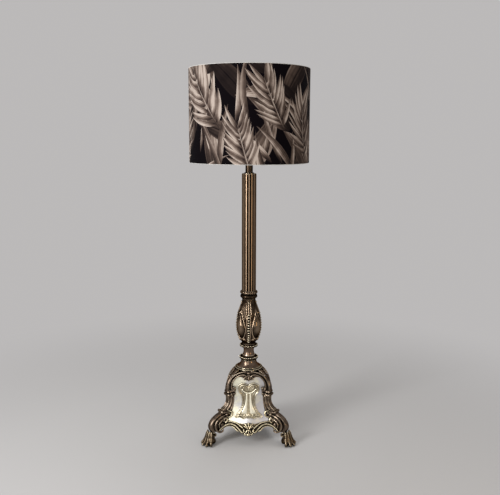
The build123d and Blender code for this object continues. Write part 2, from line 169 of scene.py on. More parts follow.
def mirrored(half):
    # the whole outline from its right half, which starts and ends on the centre line
    return list(half) + [(-x, z) for x, z in reversed(half) if abs(x) > flat]


def makeObject(name, mesh, material=None):
    piece = bpy.data.objects.new(name, mesh)
    bpy.context.scene.collection.objects.link(piece)
    for finish in material if isinstance(material, list) else [material]:
        if finish and finish.name not in mesh.materials:
            mesh.materials.append(finish)
    return piece


def applied(piece):
    # the piece with its modifiers taken up into a plain mesh
    depsgraph = bpy.context.evaluated_depsgraph_get()
    mesh = bpy.data.meshes.new_from_object(piece.evaluated_get(depsgraph))
    piece.modifiers.clear()
    piece.data = mesh
    return piece


def castMesh(name, blob, look):
    # melts ribs, balls and plates into one skin, as in a casting
    mesh = bpy.data.meshes.new(name)
    mesh.from_pydata([p * mm for p in blob["points"]], [], blob["faces"])
    piece = makeObject(name + "Raw", mesh)
    melt = piece.modifiers.new("melt", "REMESH")
    melt.mode = "VOXEL"
    melt.voxel_size = look["grain"] * mm
    soften = piece.modifiers.new("soften", "SMOOTH")
    soften.factor = 0.5
    soften.iterations = look["softness"]
    applied(piece)
    result = piece.data
    bpy.data.objects.remove(piece)
    result.shade_smooth()
    print("cast", name, len(result.polygons), "faces")
    return result


def twoFinishes(name, ground, raised):
    # one mesh of two castings; the second has the second finish
    bm = bmesh.new()
    bm.from_mesh(ground)
    own = len(bm.faces)
    bm.from_mesh(raised)
    bm.faces.ensure_lookup_table()
    for face in bm.faces[own:]:
        face.material_index = 1
    mesh = bpy.data.meshes.new(name)
    bm.to_mesh(mesh)
    bm.free()
    mesh.shade_smooth()
    return mesh


def turnedCopies(mesh, name, nodeName, angles, material):
    # one casting, set round the base
    for number, angle in enumerate(angles, 1):
        copy = mesh.copy()
        copy.transform(Matrix.Rotation(math.radians(angle), 4, "Z"))
        piece = makeObject(f"{name}_{number}", copy, material)
        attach(piece, "stand")
        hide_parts(f"{nodeName}_{number}")


# small helpers for materials

def addNode(owner, kind, inputs=None, **settings):
    # owner is a material, a world or a node tree; a socket among the inputs is linked
    tree = getattr(owner, "node_tree", owner)
    node = tree.nodes.new(kind)
    for key, value in settings.items():
        setattr(node, key, value)
    for key, value in (inputs or {}).items():
        if isinstance(value, bpy.types.NodeSocket):
            tree.links.new(value, node.inputs[key])
        else:
            node.inputs[key].default_value = value
    return node


def newMaterial(name, inputs):
    material = bpy.data.materials.new(name)
    material.use_nodes = True
    material.node_tree.nodes.clear()
    shader = addNode(material, "ShaderNodeBsdfPrincipled", inputs)
    addNode(material, "ShaderNodeOutputMaterial", {"Surface": shader.outputs["BSDF"]})
    return material, shader


def objectPlace(material):
    return addNode(material, "ShaderNodeTexCoord").outputs["Object"]


def plug(socket, target):
    target.id_data.links.new(socket, target)


def calc(operation, a, b=0.0, c=0.0, clamp=False):
    return addNode(a.id_data, "ShaderNodeMath", {0: a, 1: b, 2: c},
                   operation=operation, use_clamp=clamp).outputs[0]


def fade(value, low, high, outLow=0.0, outHigh=1.0):
    return addNode(value.id_data, "ShaderNodeMapRange",
                   {"Value": value, "From Min": low, "From Max": high, "To Min": outLow, "To Max": outHigh},
                   interpolation_type="SMOOTHSTEP").outputs[0]


def mixed(factor, a, b):
    return addNode(factor.id_data, "ShaderNodeMix", {0: factor, 6: a, 7: b}, data_type="RGBA").outputs[2]


def rgba(colour):
    return (*colour, 1.0)


def speckle(place, scale, detail=4.0):
    return addNode(place.id_data, "ShaderNodeTexNoise",
                   {"Vector": place, "Scale": scale, "Detail": detail, "Roughness": 0.55}).outputs["Fac"]


def bumpFrom(shader, height, distance, strength, normal=None):
    inputs = {"Height": height, "Distance": distance, "Strength": strength}
    if normal:
        inputs["Normal"] = normal
    plug(addNode(shader.id_data, "ShaderNodeBump", inputs).outputs["Normal"], shader.inputs["Normal"])


# materials

def makeBrass(name, look):
    # cast brass: dark in its hollows, partly patina and partly painted shade; brown on the body; bright where
    # it's rubbed, with a painted sheen added where the mesh's attribute asks for it
    material, shader = newMaterial(name, {"Metallic": 1.0, "Specular Tint": rgba(look["edgeTint"])})
    place = objectPlace(material)
    # painted shade: the ambient occlusion darkens the hollows towards the dark colour, which also stands for
    # patina there
    hollow = addNode(material, "ShaderNodeAmbientOcclusion", {"Distance": look["hollowReach"]},
                     samples=8).outputs["AO"]
    clear = fade(hollow, look["hollowDark"], look["hollowLight"])
    if look["dense"]:
        sharp = addNode(material, "ShaderNodeNewGeometry").outputs["Pointiness"]
        rubbed = fade(sharp, look["edgeLow"], look["edgeHigh"])
    else:
        soft = addNode(material, "ShaderNodeBevel", {"Radius": look["edgeReach"]},
                       samples=6).outputs["Normal"]
        hard = addNode(material, "ShaderNodeNewGeometry").outputs["Normal"]
        same = addNode(material, "ShaderNodeVectorMath", {0: soft, 1: hard}, operation="DOT_PRODUCT")
        rubbed = fade(same.outputs["Value"], 0.998, 0.93)
    cloudy = speckle(place, look["patches"])
    body = mixed(fade(cloudy, 0.38, 0.66), rgba(look["body"]), rgba(look["bodyWorn"]))
    # this attribute lowers the roughness where the metal is polished, and a share of it mixes in the bright
    # colour as a painted sheen
    polishAndHighlight = addNode(material, "ShaderNodeAttribute", attribute_name="polishAndHighlight").outputs["Fac"]
    paintedSheen = calc("MULTIPLY", polishAndHighlight, look["paintedSheen"])
    rubbedAndSheen = calc("MULTIPLY", calc("MAXIMUM", rubbed, paintedSheen), clear)
    rubbedAndSheen = calc("MULTIPLY", rubbedAndSheen, fade(cloudy, 0.30, 0.55, 0.55, 1.0))
    wornAndSheen = mixed(rubbedAndSheen, body, rgba(look["bright"]))
    plug(mixed(clear, rgba(look["dark"]), wornAndSheen), shader.inputs["Base Color"])
    fine = speckle(place, look["specks"], 3.0)
    rough = calc("MULTIPLY_ADD", fine, 0.14, look["rough"] - 0.07)
    rough = calc("SUBTRACT", rough, calc("MULTIPLY", polishAndHighlight, 0.12))
    dull = fade(clear, 0.0, 1.0, 0.22, 0.0)
    plug(calc("ADD", rough, dull), shader.inputs["Roughness"])
    uneven = calc("ADD", calc("MULTIPLY", fine, 0.5), speckle(place, look["dents"]))
    bumpFrom(shader, uneven, look["dentDepth"], look["bump"])
    return material


def makeFluted(look):
    # the column's brass: the crests of the flutes are rubbed bright, which also paints their highlight, and
    # their floors are dark, partly patina and partly painted shade
    material, shader = newMaterial("flutedBrass", {"Metallic": 1.0, "Specular Tint": rgba(look["edgeTint"])})
    place = objectPlace(material)
    x, y, _ = addNode(material, "ShaderNodeSeparateXYZ", {"Vector": place}).outputs
    angle = calc("ARCTAN2", y, x)
    crest = calc("COSINE", calc("MULTIPLY", angle, look["flutes"]))
    cloudy = speckle(place, 60.0)
    wornAndSheen = calc("MULTIPLY", fade(crest, 0.55, 1.0), fade(cloudy, 0.2, 0.6, 0.75, 1.0))
    # painted shade: the flute floors go towards the dark colour all round the column
    body = mixed(fade(crest, -1.0, 0.5), rgba(look["dark"]), rgba(look["body"]))
    plug(mixed(wornAndSheen, body, rgba(look["bright"])), shader.inputs["Base Color"])
    plug(fade(cloudy, 0.3, 0.7, look["rough"] + 0.04, look["rough"]), shader.inputs["Roughness"])
    bumpFrom(shader, speckle(place, 300.0), 0.00003, 0.3)
    return material


def makeSilver(look):
    # a silvered plate, stippled with a punch; its hollows are darkened as painted shade, and it is painted
    # warmer towards -x as a painted reflection of the key light on that side
    material, shader = newMaterial("silveredStipple", {"Metallic": look["metal"]})
    place = objectPlace(material)
    # painted shade: the ambient occlusion darkens the plate beside the castings
    hollow = addNode(material, "ShaderNodeAmbientOcclusion", {"Distance": look["hollowReach"]},
                     samples=8).outputs["AO"]
    punched = addNode(material, "ShaderNodeTexVoronoi", {"Vector": place, "Scale": look["stipple"]},
                      feature="SMOOTH_F1").outputs["Distance"]
    cloudy = speckle(place, 45.0)
    x, y, _ = addNode(material, "ShaderNodeSeparateXYZ", {"Vector": place}).outputs
    # painted reflection: x leans the warm colour towards -x, where the key light is; the noise gives random
    # warm patches
    warmPatchesAndLitSide = calc("SUBTRACT", cloudy, calc("MULTIPLY", x, look["lean"]))
    base = mixed(fade(warmPatchesAndLitSide, 0.35, 0.7), rgba(look["pale"]), rgba(look["warm"]))
    colour = mixed(fade(hollow, 0.35, 0.85), rgba(look["dark"]), base)
    plug(colour, shader.inputs["Base Color"])
    plug(fade(punched, 0.1, 0.8, look["rough"], look["rough"] + 0.14), shader.inputs["Roughness"])
    # the three plates are a little fuller in the middle, and stippled
    full = calc("SINE", calc("MULTIPLY", calc("ARCTAN2", y, x), 3.0))
    swell = addNode(material, "ShaderNodeBump", {"Height": full, "Distance": look["swell"], "Strength": 1.0})
    bumpFrom(shader, calc("ADD", punched, calc("MULTIPLY", cloudy, 1.5)), look["depth"], 0.7,
             swell.outputs["Normal"])
    return material


def makePlain(name, colour, metal, rough, grainScale=600.0, grainDepth=0.00008, spread=0.12):
    # an even finish with a little colour and roughness change
    material, shader = newMaterial(name, {"Metallic": metal})
    place = objectPlace(material)
    cloudy = speckle(place, grainScale / 8)
    darker = tuple(c * (1 - 2 * spread) for c in colour)
    plug(mixed(fade(cloudy, 0.3, 0.7), rgba(darker), rgba(colour)), shader.inputs["Base Color"])
    plug(fade(cloudy, 0.3, 0.7, rough + 0.05, rough - 0.04), shader.inputs["Roughness"])
    bumpFrom(shader, speckle(place, grainScale), grainDepth, 0.6)
    return material


def makeFrosted():
    # frosted bulb glass
    material, shader = newMaterial("frostedBulb", {"Roughness": 0.32, "Transmission Weight": 0.25,
                                                   "IOR": 1.45})
    place = objectPlace(material)
    cloudy = speckle(place, 200.0)
    plug(mixed(fade(cloudy, 0.3, 0.7), rgba((0.86, 0.86, 0.83)), rgba((0.92, 0.92, 0.90))),
         shader.inputs["Base Color"])
    bumpFrom(shader, speckle(place, 1500.0), 0.00003, 0.5)
    return material


print("materials")
castLook = {"dark": (0.004, 0.003, 0.002), "body": (0.080, 0.058, 0.043), "bodyWorn": (0.20, 0.150, 0.112),
            "bright": (0.75, 0.61, 0.45), "hollowReach": 0.006, "hollowDark": 0.48, "hollowLight": 0.95,
            "edgeLow": 0.508, "edgeHigh": 0.552, "rough": 0.26, "bump": 0.40, "dense": True,
            "edgeTint": (0.26, 0.21, 0.17), "edgeReach": 0.0014, "paintedSheen": 0.42,
            "patches": 70.0, "dents": 260.0, "specks": 900.0, "dentDepth": 0.00022}
agedBrass = makeBrass("agedBrass", castLook)
# painted shade: the baluster's and the gadroons' brass is a darker copy of the cast brass, standing in for
# the dark reflections they lack
balusterBrass = makeBrass("balusterBrass", {**castLook, "body": (0.017, 0.0105, 0.0066),
                                            "bodyWorn": (0.054, 0.037, 0.024), "bright": (0.75, 0.56, 0.39),
                                            "hollowReach": 0.009, "hollowDark": 0.58, "rough": 0.27,
                                            "bump": 0.2})
pawBrass = makeBrass("pawBrass", {**castLook, "body": (0.055, 0.038, 0.024), "bodyWorn": (0.13, 0.094, 0.060),
                                  "bright": (0.74, 0.62, 0.43), "hollowDark": 0.56, "hollowLight": 0.98,
                                  "edgeLow": 0.506, "edgeHigh": 0.548})
giltBrass = makeBrass("giltBrass", {**castLook, "body": (0.066, 0.045, 0.024),
                                    "bodyWorn": (0.155, 0.112, 0.064), "bright": (0.97, 0.86, 0.60),
                                    "hollowDark": 0.60, "hollowLight": 0.98, "edgeLow": 0.503,
                                    "edgeHigh": 0.532})
# painted highlight: the beads' brass is much lighter than the rest, standing in for their bright glints
beadBrass = makeBrass("beadBrass", {**castLook, "body": (0.42, 0.34, 0.22), "bodyWorn": (0.58, 0.49, 0.34),
                                    "bright": (0.80, 0.70, 0.52), "hollowDark": 0.50, "rough": 0.18})
shieldBrass = makeBrass("shieldBrass", {**castLook, "dark": (0.05, 0.04, 0.024), "body": (0.47, 0.40, 0.27),
                                        "bodyWorn": (0.70, 0.62, 0.45), "bright": (0.97, 0.92, 0.77),
                                        "hollowDark": 0.46, "hollowLight": 0.92, "rough": 0.26})
# pale polished gilt for the shield's lobes and swag, bright as a painted highlight too
giltAndPaintedHighlight = makePlain("giltAndPaintedHighlight", (0.99, 0.94, 0.76), 0.55, 0.24, 400.0, 0.00006, 0.03)
# painted shade: the turned rings and dishes get a darker body than the neck
turnedLook = {**castLook, "body": (0.030, 0.020, 0.013), "bodyWorn": (0.055, 0.038, 0.025), "dense": False,
              "rough": 0.22, "bump": 0.10}
turnedBrass = makeBrass("turnedBrass", turnedLook)
# painted light: the neck and waist get a lighter copy of the turned brass
neckBrass = makeBrass("neckBrass", {**turnedLook, "body": (0.120, 0.083, 0.059),
                                    "bodyWorn": (0.190, 0.134, 0.098)})
flutedBrass = makeFluted({"flutes": 16.0, "dark": (0.004, 0.003, 0.002), "body": (0.036, 0.023, 0.014),
                          "bright": (0.52, 0.36, 0.235), "rough": 0.40, "edgeTint": castLook["edgeTint"]})
silver = makeSilver({"pale": (0.62, 0.61, 0.63), "warm": (0.90, 0.87, 0.70), "dark": (0.10, 0.08, 0.06),
                     "stipple": 420.0, "metal": 0.92, "rough": 0.32, "swell": 0.0036, "lean": 4.0,
                     "hollowReach": 0.005, "depth": 0.00035})
brightBrass = makePlain("brightBrass", (0.66, 0.50, 0.24), 1.0, 0.24)
zincSteel = makePlain("zincSteel", (0.50, 0.50, 0.50), 1.0, 0.38)
castIron = makePlain("castIron", (0.055, 0.050, 0.046), 0.3, 0.62, 300.0, 0.0004)
blackPlastic = makePlain("blackPlastic", (0.022, 0.022, 0.024), 0.0, 0.48)
blackGlass = makePlain("blackGlass", (0.015, 0.015, 0.017), 0.0, 0.12)
ceramic = makePlain("ceramicCore", (0.72, 0.71, 0.67), 0.0, 0.55)
whiteLining = makePlain("whiteLining", (0.78, 0.77, 0.74), 0.0, 0.60, 900.0, 0.00006, 0.02)
whiteWire = makePlain("whiteWire", (0.74, 0.74, 0.72), 0.0, 0.35)
nickel = makePlain("nickelCap", (0.66, 0.65, 0.62), 1.0, 0.22)
frosted = makeFrosted()

carried = {
    flutedBrass: ["column"],
    neckBrass: ["base_neck", "waist"],
    turnedBrass: ["lower_dish", "upper_dish", "lower_collar", "upper_collar", "column_cap", "neck_tube"],
    silver: ["panel_1", "panel_2", "panel_3"],
    zincSteel: ["paw_bolts", "leg_bolts", "clamp_plate", "rod_washer", "rod_nut", "threaded_rod",
                "centring_discs"],
    castIron: ["base_hub"],
    blackPlastic: ["cord_bush"],
    brightBrass: ["holder_cap", "holder_sleeve", "screw_shell", "centre_contact", "lower_shade_ring",
                  "upper_shade_ring"],
    ceramic: ["holder_core"],
    whiteLining: ["shade_lining"],
    whiteWire: ["top_ring", "shade_carrier"],
    frosted: ["bulb_glass"],
    nickel: ["bulb_cap", "bulb_tip"],
    blackGlass: ["bulb_insulator"],
}
for material, names in carried.items():
    for name in names:
        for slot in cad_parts[name].material_slots:
            slot.material = material


# the base's castings; on the panel a rib's points are (x, z, out, thickness) in mm, for the right half
panel = {"face": 32.5, "bend": 118.0, "flare": 196.0}  # the face of a panel, as its node has it


def onPanel(x, z, out=0.0):
    # a point this far in front of the front panel's face
    drop = max(panel["bend"] - z, 0.0)
    lean = math.asin(min(drop / panel["flare"], 1.0))
    reach = panel["face"] + panel["flare"] - panel["flare"] * math.cos(lean)
    return Vector((x, -reach - out * math.cos(lean), z + out * math.sin(lean)))


def frontRib(blob, points, both=True, perSpan=6):
    path = smoothPath(points, perSpan)
    for flip in ((1, -1) if both else (1,)):
        addTube(blob, [onPanel(flip * x, z, out) for x, z, out, r in path], [p[3] for p in path])


def frontPetals(blob, x, z, out, start, end, count, length, thick):
    # a fan of drops, as in a shell
    for n in range(count):
        angle = math.radians(start + (end - start) * n / (count - 1))
        reach = length * (0.86 + 0.14 * math.sin(math.pi * (n + 0.5) / count))
        farX, farZ = x + reach * math.cos(angle), z + reach * math.sin(angle)
        frontRib(blob, [(x, z, out, thick * 0.45),
                        ((x + farX) / 2, (z + farZ) / 2, out + thick * 0.5, thick * 0.8),
                        (farX, farZ, out, thick)], False, 4)


def frontBosses(blob, bosses):
    for x, z, out, size in bosses:
        addBall(blob, onPanel(x, z, out), size)


def makeArch():
    look = {
        "grain": 0.6, "softness": 2, "back": -2.5, "front": 1.0,
        "web": [(0, 161.5), (8, 162.5), (12.5, 168), (20, 171.4), (31, 170.5), (39, 165), (42.6, 156),
                (42, 149.5), (38.5, 145), (36, 139), (37.5, 133.5), (49, 133.5), (50, 148), (48.2, 160.4),
                (42.2, 172), (29, 180.6), (15, 185.4), (0, 187)],
        "scroll": [(4.2, 169.6, 4.6, 1.4), (6.4, 174.6, 5, 2.1), (12.6, 178.2, 4.4, 2.1), (24, 176, 3.8, 1.9),
                   (35, 168, 3.6, 1.8), (41.8, 156.6, 3.6, 1.8), (43.6, 147, 4, 2), (41.6, 140, 4.8, 2.5),
                   (36.6, 138.2, 5.4, 2.6), (34.6, 143, 5.8, 2.7),
                   (39, 144.4, 6, 2)],  # it curls in at the band
        "outerScroll": [(8, 186.2, 2.2, 1.3), (25, 182, 2.4, 1.7), (39, 173.4, 2.4, 1.8),
                        (47.6, 160.4, 2.6, 1.8), (51.2, 147, 2.6, 1.8), (51, 137, 2.6, 1.6)],
        "knob": [(0, 182, 3.4, (4.6, 3.2, 3.6))],
        "drop": [(0, 173.6, 3, 1.4), (0, 167.4, 4, 2.4), (0, 162.4, 4, 1.5)],
        "petals": (0, 177, 3, -158, -22, 5, 6.6, 1.4),
        "bracket": [(8, 171.6, 3.4, 1.3), (12, 168.4, 3.6, 1.5), (10.8, 164.6, 3.2, 1.2)],
        "rolls": [[(36, 134.2, 2.8, 2.8), (50, 134.6, 2.8, 2.8)],
                  [(36.2, 127.4, 2.6, 3), (48, 127.4, 2.6, 3)]],  # where the arch meets the band
        "rollBosses": [(flip * 43.4, 127, 5.2, (2.6, 2.6, 2.6)) for flip in (1, -1)],
    }
    blob = newBlob()
    addSlab(blob, mirrored(look["web"]), onPanel, look["back"], look["front"])
    frontRib(blob, look["scroll"])
    frontRib(blob, look["outerScroll"])
    frontBosses(blob, look["knob"])
    frontRib(blob, look["drop"], both=False)
    frontPetals(blob, *look["petals"])
    for points in (look["bracket"], *look["rolls"]):
        frontRib(blob, points)
    frontBosses(blob, look["rollBosses"])
    return castMesh("archCast", blob, look)


def makeApron():
    look = {
        "grain": 0.62, "softness": 2, "back": -2.5, "front": 1.6,
        "band": [(0, 52), (12, 49.4), (20, 50.6), (30, 52.4), (44, 54.6), (58, 61), (70, 66), (76, 66),
                 (84, 50), (83, 34), (75, 30.5), (68, 37), (58, 42.6), (48, 44.4), (38, 41.6), (31, 34.6),
                 (27, 33.6), (20, 29.5), (12, 26), (5, 22.6), (0, 21.6)],
        # the long moulding over the opening, which curls in at the middle, and two under and over it
        "mouldings": [[(76, 32.4, 4.2, 2.6), (68.6, 40.4, 4, 2.3), (57, 47.6, 3.8, 2.1), (45, 49.6, 3.8, 2.1),
                       (33.6, 45.6, 4, 2.2), (24, 36.8, 4.4, 2.3), (17, 30.4, 4.8, 2.3), (12, 31.6, 5, 2),
                       (12.6, 36.4, 5, 1.9)],
                      [(44, 44.6, 2.8, 1.4), (36.4, 40.8, 3.2, 1.8), (30.4, 35, 3.8, 2.1),
                       (26, 33.2, 4, 1.5)],
                      [(56, 55, 2.4, 1.2), (44, 54.8, 2.6, 1.4), (31, 51.6, 2.8, 1.5), (21, 44.6, 3.4, 1.7),
                       (14.6, 40, 4, 1.6)]],
        "shell": [(0, 36, 3.4, 38, 142, 5, 14.5, 2.1), (0, 40, 3.2, -122, -58, 3, 13, 2.2)],
        "shellSide": [(10.6, 49.8, 3.2, 1.5), (5.8, 45.6, 4.6, 1.9), (2.8, 38.6, 5, 1.7)],
        "bosses": [(0, 49.4, 3.6, (3.4, 3.0, 3.2)), (0, 34, 5.2, (3.0, 2.8, 3.2)),
                   (0, 24.6, 3.6, (5.4, 3.6, 3.8))],
        "dropSide": [(3, 27, 4.2, 1.7), (8.6, 24.8, 4.4, 1.7), (9.8, 28.6, 4.4, 1.4)],
        # beside the panel, against the legs
        "sideScrolls": [[(60, 80.6, 2.6, 1.9), (52, 82.4, 4, 2.2), (44.6, 80.8, 4.8, 2.3),
                         (41.6, 74.6, 5, 2.2), (45, 68.6, 4.8, 2.1), (52, 66.6, 4.4, 2), (59, 68, 4, 1.9)],
                        [(49, 77, 3.4, 1.9), (54, 76, 3.8, 2), (58.6, 73, 3.4, 1.7)],
                        [(58.6, 53, 4.4, 2), (54.4, 57.4, 5, 2.2), (56, 63.4, 5.2, 2.3),
                         (62.4, 64.6, 5.2, 2.4), (66, 59.6, 5.2, 2.2), (62.4, 56.6, 5.4, 2)]],
    }
    blob = newBlob()
    addSlab(blob, mirrored(look["band"]), onPanel, look["back"], look["front"])
    for points in look["mouldings"]:
        frontRib(blob, points)
    for fan in look["shell"]:
        frontPetals(blob, *fan)
    frontRib(blob, look["shellSide"])
    frontBosses(blob, look["bosses"])
    for points in (look["dropSide"], *look["sideScrolls"]):
        frontRib(blob, points)
    return castMesh("apronCast", blob, look)


def frontLobe(blob, points):
    # points are (x, z, out, half width, height)
    path = smoothPath(points)
    for flip in (1, -1):
        centres = [onPanel(flip * p[0], p[1], p[2]) for p in path]
        normals = [(onPanel(0, p[1], 1.0) - onPanel(0, p[1])).normalized() for p in path]
        addLobe(blob, centres, normals, [p[3] for p in path], [p[4] for p in path])


def makeShield():
    look = {
        "grain": 0.55, "softness": 2, "back": -0.6, "front": 0.9, "cell": 4.0,
        "edge": [(0, 149.5), (6, 153.4), (15, 155.2), (23, 152), (27.6, 144), (28, 137), (25.6, 130.4),
                 (20.4, 125.4), (17, 116), (16.4, 104), (19, 91), (24.4, 79), (33, 72.4), (36.2, 67.6),
                 (32, 63.2), (23, 65.2), (14, 60.8), (6, 63.4), (0, 61.8)],
        "rim": [(0, 149.2), (8, 153.4), (17, 154.2), (25, 149), (27, 139), (24, 130.6), (19, 124.4),
                (16.2, 114), (15.8, 103), (18.6, 90), (24, 79.4), (32.4, 72.4), (35, 67.4), (30.6, 64.6),
                (22.6, 66.2), (13.6, 62.2), (6, 64.6), (0, 63.2)], "rimOut": 1.4, "rimThick": 1.2,
        "lobeLine": [(17, 134, 1.4, 1.1), (12.4, 124, 1.6, 1.2), (11.2, 110, 1.6, 1.2), (13.6, 95, 1.6, 1.2),
                     (19.6, 80.6, 1.6, 1.3), (27, 71.4, 1.4, 1.2)],
        "earCurl": [(1.6, 140, 1.4, 1.2), (4.6, 147, 1.6, 1.5), (11.4, 149.6, 1.8, 1.7),
                    (18.6, 147.6, 1.8, 1.7), (22, 141.6, 1.8, 1.5), (18, 137.6, 1.8, 1.3),
                    (13.4, 140, 2, 1.6), (13.8, 144, 2, 1.3)],
        "earDrop": [(0, 146, 1.2, 1.3), (0, 139, 1.6, 2), (0, 134.6, 1.4, 1.2)],
        "footPetals": (0, 66.8, 1.6, 30, 150, 5, 7, 1.4),
        "footScroll": [(28, 68.4, 1.4, 1.2), (21, 70.6, 1.9, 1.5), (13.4, 68.6, 2.2, 1.7),
                       (10.4, 72, 2.2, 1.5), (14.4, 73.6, 2, 1.2)],
        "lobe": [(4.6, 127.6, 0.6, 1.6, 1), (4.7, 119, 1, 2.4, 2.2), (5.3, 107, 1, 3.1, 2.6),
                 (6.8, 95, 1, 4.3, 2.9), (9, 85, 0.9, 6, 2.9), (11.2, 77.6, 0.6, 7.4, 2.3),
                 (12.2, 73.6, 0.3, 6.2, 0.9)],  # polished, like the swag over it; their pale gilt is also a painted highlight
        "swag": [(18.6, 140.6, 1.8, 0.9), (13.8, 134.6, 2.6, 1.5), (7.2, 130.4, 2.9, 1.8),
                 (0, 129, 2.9, 1.9)],
    }
    ground = newBlob()
    addSlab(ground, mirrored(look["edge"]), onPanel, look["back"], look["front"], look["cell"])
    frontRib(ground, [(x, z, look["rimOut"], look["rimThick"]) for x, z in look["rim"]], perSpan=4)
    frontRib(ground, look["lobeLine"])
    frontRib(ground, look["earCurl"])
    frontRib(ground, look["earDrop"], both=False)
    frontPetals(ground, *look["footPetals"])
    frontRib(ground, look["footScroll"])
    raised = newBlob()
    frontLobe(raised, look["lobe"])
    frontRib(raised, look["swag"])
    return twoFinishes("shieldCast", castMesh("shieldGround", ground, look),
                       castMesh("shieldLobes", raised, look))


# on a leg r is the distance from the axis and t the distance from the leg's middle
def legPoint(r, z, t):
    return Vector((r, t, z))


def cheekRib(blob, points):
    # points are (r, z, t, thickness); both cheeks get one
    path = smoothPath(points)
    for flip in (1, -1):
        addTube(blob, [legPoint(r, z, flip * t) for r, z, t, thick in path], [p[3] for p in path])


def cheekBoss(blob, r, z, t, size):
    for flip in (1, -1):
        addBall(blob, legPoint(r, z, flip * t), size)


def crossRoll(blob, r, z, half, thick):
    addTube(blob, [legPoint(r, z, t) for t in (-half, -half / 2, 0, half / 2, half)], [thick] * 5)


def backLobe(blob, points):
    # points are (r, z, half width, thickness) along the leg's back
    path = smoothPath(points)
    centres = [legPoint(p[0], p[1], 0.0) for p in path]
    normals = []
    for i in range(len(centres)):
        run = centres[min(i + 1, len(centres) - 1)] - centres[max(i - 1, 0)]
        normals.append(Vector((-run.z, 0.0, run.x)).normalized())
    addLobe(blob, centres, normals, [p[2] for p in path], [p[3] for p in path])


def makeLeg():
    look = {
        "grain": 0.72, "softness": 2, "cell": 8.0, "upperHalf": 5.6, "lowerHalf": 7.8,
        "upper": [(20, 187.4), (32, 186.6), (40, 182.2), (48.6, 173.6), (55.4, 163.4), (60.6, 151), (63, 138),
                  (63.4, 122), (42, 122), (42, 168.6), (20, 168.6)],
        "lower": [(63.4, 132), (62.4, 112), (64.8, 101), (69.4, 93), (76, 87), (85, 83.6), (84.6, 76.4),
                  (95, 70.4), (105.6, 62.4), (111.8, 52.4), (112.4, 43), (110, 33), (98, 33), (88, 36),
                  (76, 45.5), (62, 61), (51, 82), (44, 104), (42, 132)],
        "upperBack": [(29, 183.8, 5.2, 2.6), (40.6, 179, 5.6, 3), (51.6, 170.4, 6, 3.2),
                      (59.4, 159.6, 6.2, 3.3), (63.8, 147, 6.2, 3.3), (64.8, 136, 6.2, 3.1)],
        "upperLine": [(30, 178, 5.4, 1.2), (41.4, 173.4, 6, 1.7), (48.6, 163.6, 6.4, 1.9),
                      (52.4, 150, 6.6, 1.9), (54.6, 138, 6.8, 1.8)],
        "band": ((133.0, 7.6, 3.2), (124.6, 9.2, 4.2)),  # two rolls: (z, half width, thickness)
        "bandBead": (55.6, 122.8, 12.2, (3.6, 3.0, 3.2)),
        "flutes": [(63.2, 118.4, 1.6), (62.6, 108, 1.8), (65.4, 99, 1.9), (71, 91.6, 1.9),
                   (78.6, 86.8, 1.9)], "flutesAcross": (-6, 0, 6),
        "cheekFlutes": [[(55.6, 118, 8, 1.4), (56, 106, 8.4, 1.7), (59.8, 95.4, 8.6, 1.8),
                         (67, 87.4, 8.8, 1.7)],
                        [(48, 117, 7.8, 1.4), (49.4, 103, 8.2, 1.7), (53.8, 90.4, 8.6, 1.8),
                         (60.6, 80.6, 8.8, 1.7)]],
        "ledge": ((83.0, 82.4, 8.8, 3.8), (76.4, 80.6, 9.2, 3.4)),
        "ledgeEnd": [(63, 79, 9, 2), (71, 80.8, 9.8, 2.8), (82, 82, 9.4, 3.2)],
        "ledgeBead": (70.6, 75.0, 10.6, (3.6, 3.0, 3.2)),
        "lowerBack": [(85, 77.4, 7, 3.4), (95.6, 71.2, 7.8, 4), (106, 62.6, 8.2, 4.2),
                      (112.2, 52.6, 8.2, 4.2), (112.8, 43, 8, 4), (109.6, 35.6, 7.4, 3.2)],
        "scroll": [(74, 73.8, 9.4, 1.8), (85, 71.4, 10.8, 2.3), (96, 65.4, 11.6, 2.7), (102.6, 55.6, 12, 2.9),
                   (103.2, 45, 12.2, 2.9), (98.6, 36.6, 12.2, 2.8), (90.6, 32, 12.2, 2.7),
                   (83.4, 33.6, 12.4, 2.7), (83.4, 38.8, 12.6, 2.4)],
        "innerScroll": [(80.6, 62.6, 9.8, 1.6), (88.6, 58.6, 10.6, 2), (92.8, 51, 10.8, 2),
                        (91, 43.6, 10.8, 1.8)],
        "eye": (83.0, 48.0, 9.4, (5.8, 4.0, 6.6)),
        "volute": [(64.6, 68.6, 9, 1.6), (72, 67.8, 10.2, 2.1), (77, 62, 10.8, 2.3), (75, 55, 10.8, 2.2),
                   (68.8, 54, 10.6, 2), (67.4, 59.4, 10.6, 2), (71.4, 61, 10.8, 1.8)],
    }
    blob = newBlob()
    addSlab(blob, look["upper"], legPoint, -look["upperHalf"], look["upperHalf"], look["cell"])
    addSlab(blob, look["lower"], legPoint, -look["lowerHalf"], look["lowerHalf"], look["cell"])
    backLobe(blob, look["upperBack"])
    cheekRib(blob, look["upperLine"])
    for z, half, thick in look["band"]:
        crossRoll(blob, 64.2, z, half, thick)
        cheekRib(blob, [(47.0, z, half - 0.6, thick * 0.8), (56.0, z, half + 0.6, thick * 0.85),
                        (63.2, z, half - 0.4, thick)])
    cheekBoss(blob, *look["bandBead"])
    path = smoothPath(look["flutes"])
    for t in look["flutesAcross"]:
        addTube(blob, [legPoint(r, z, t) for r, z, thick in path], [p[2] for p in path])
    for points in look["cheekFlutes"]:
        cheekRib(blob, points)
    for roll in look["ledge"]:
        crossRoll(blob, *roll)
    cheekRib(blob, look["ledgeEnd"])
    cheekBoss(blob, *look["ledgeBead"])
    backLobe(blob, look["lowerBack"])
    cheekRib(blob, look["scroll"])
    cheekRib(blob, look["innerScroll"])
    cheekBoss(blob, *look["eye"])
    cheekRib(blob, look["volute"])
    return castMesh("legCast", blob, look)


def tubeAlong(blob, points, around=8):
    # points are (x, y, z, thickness)
    path = smoothPath(points)
    addTube(blob, [Vector(p[:3]) for p in path], [p[3] for p in path], around)


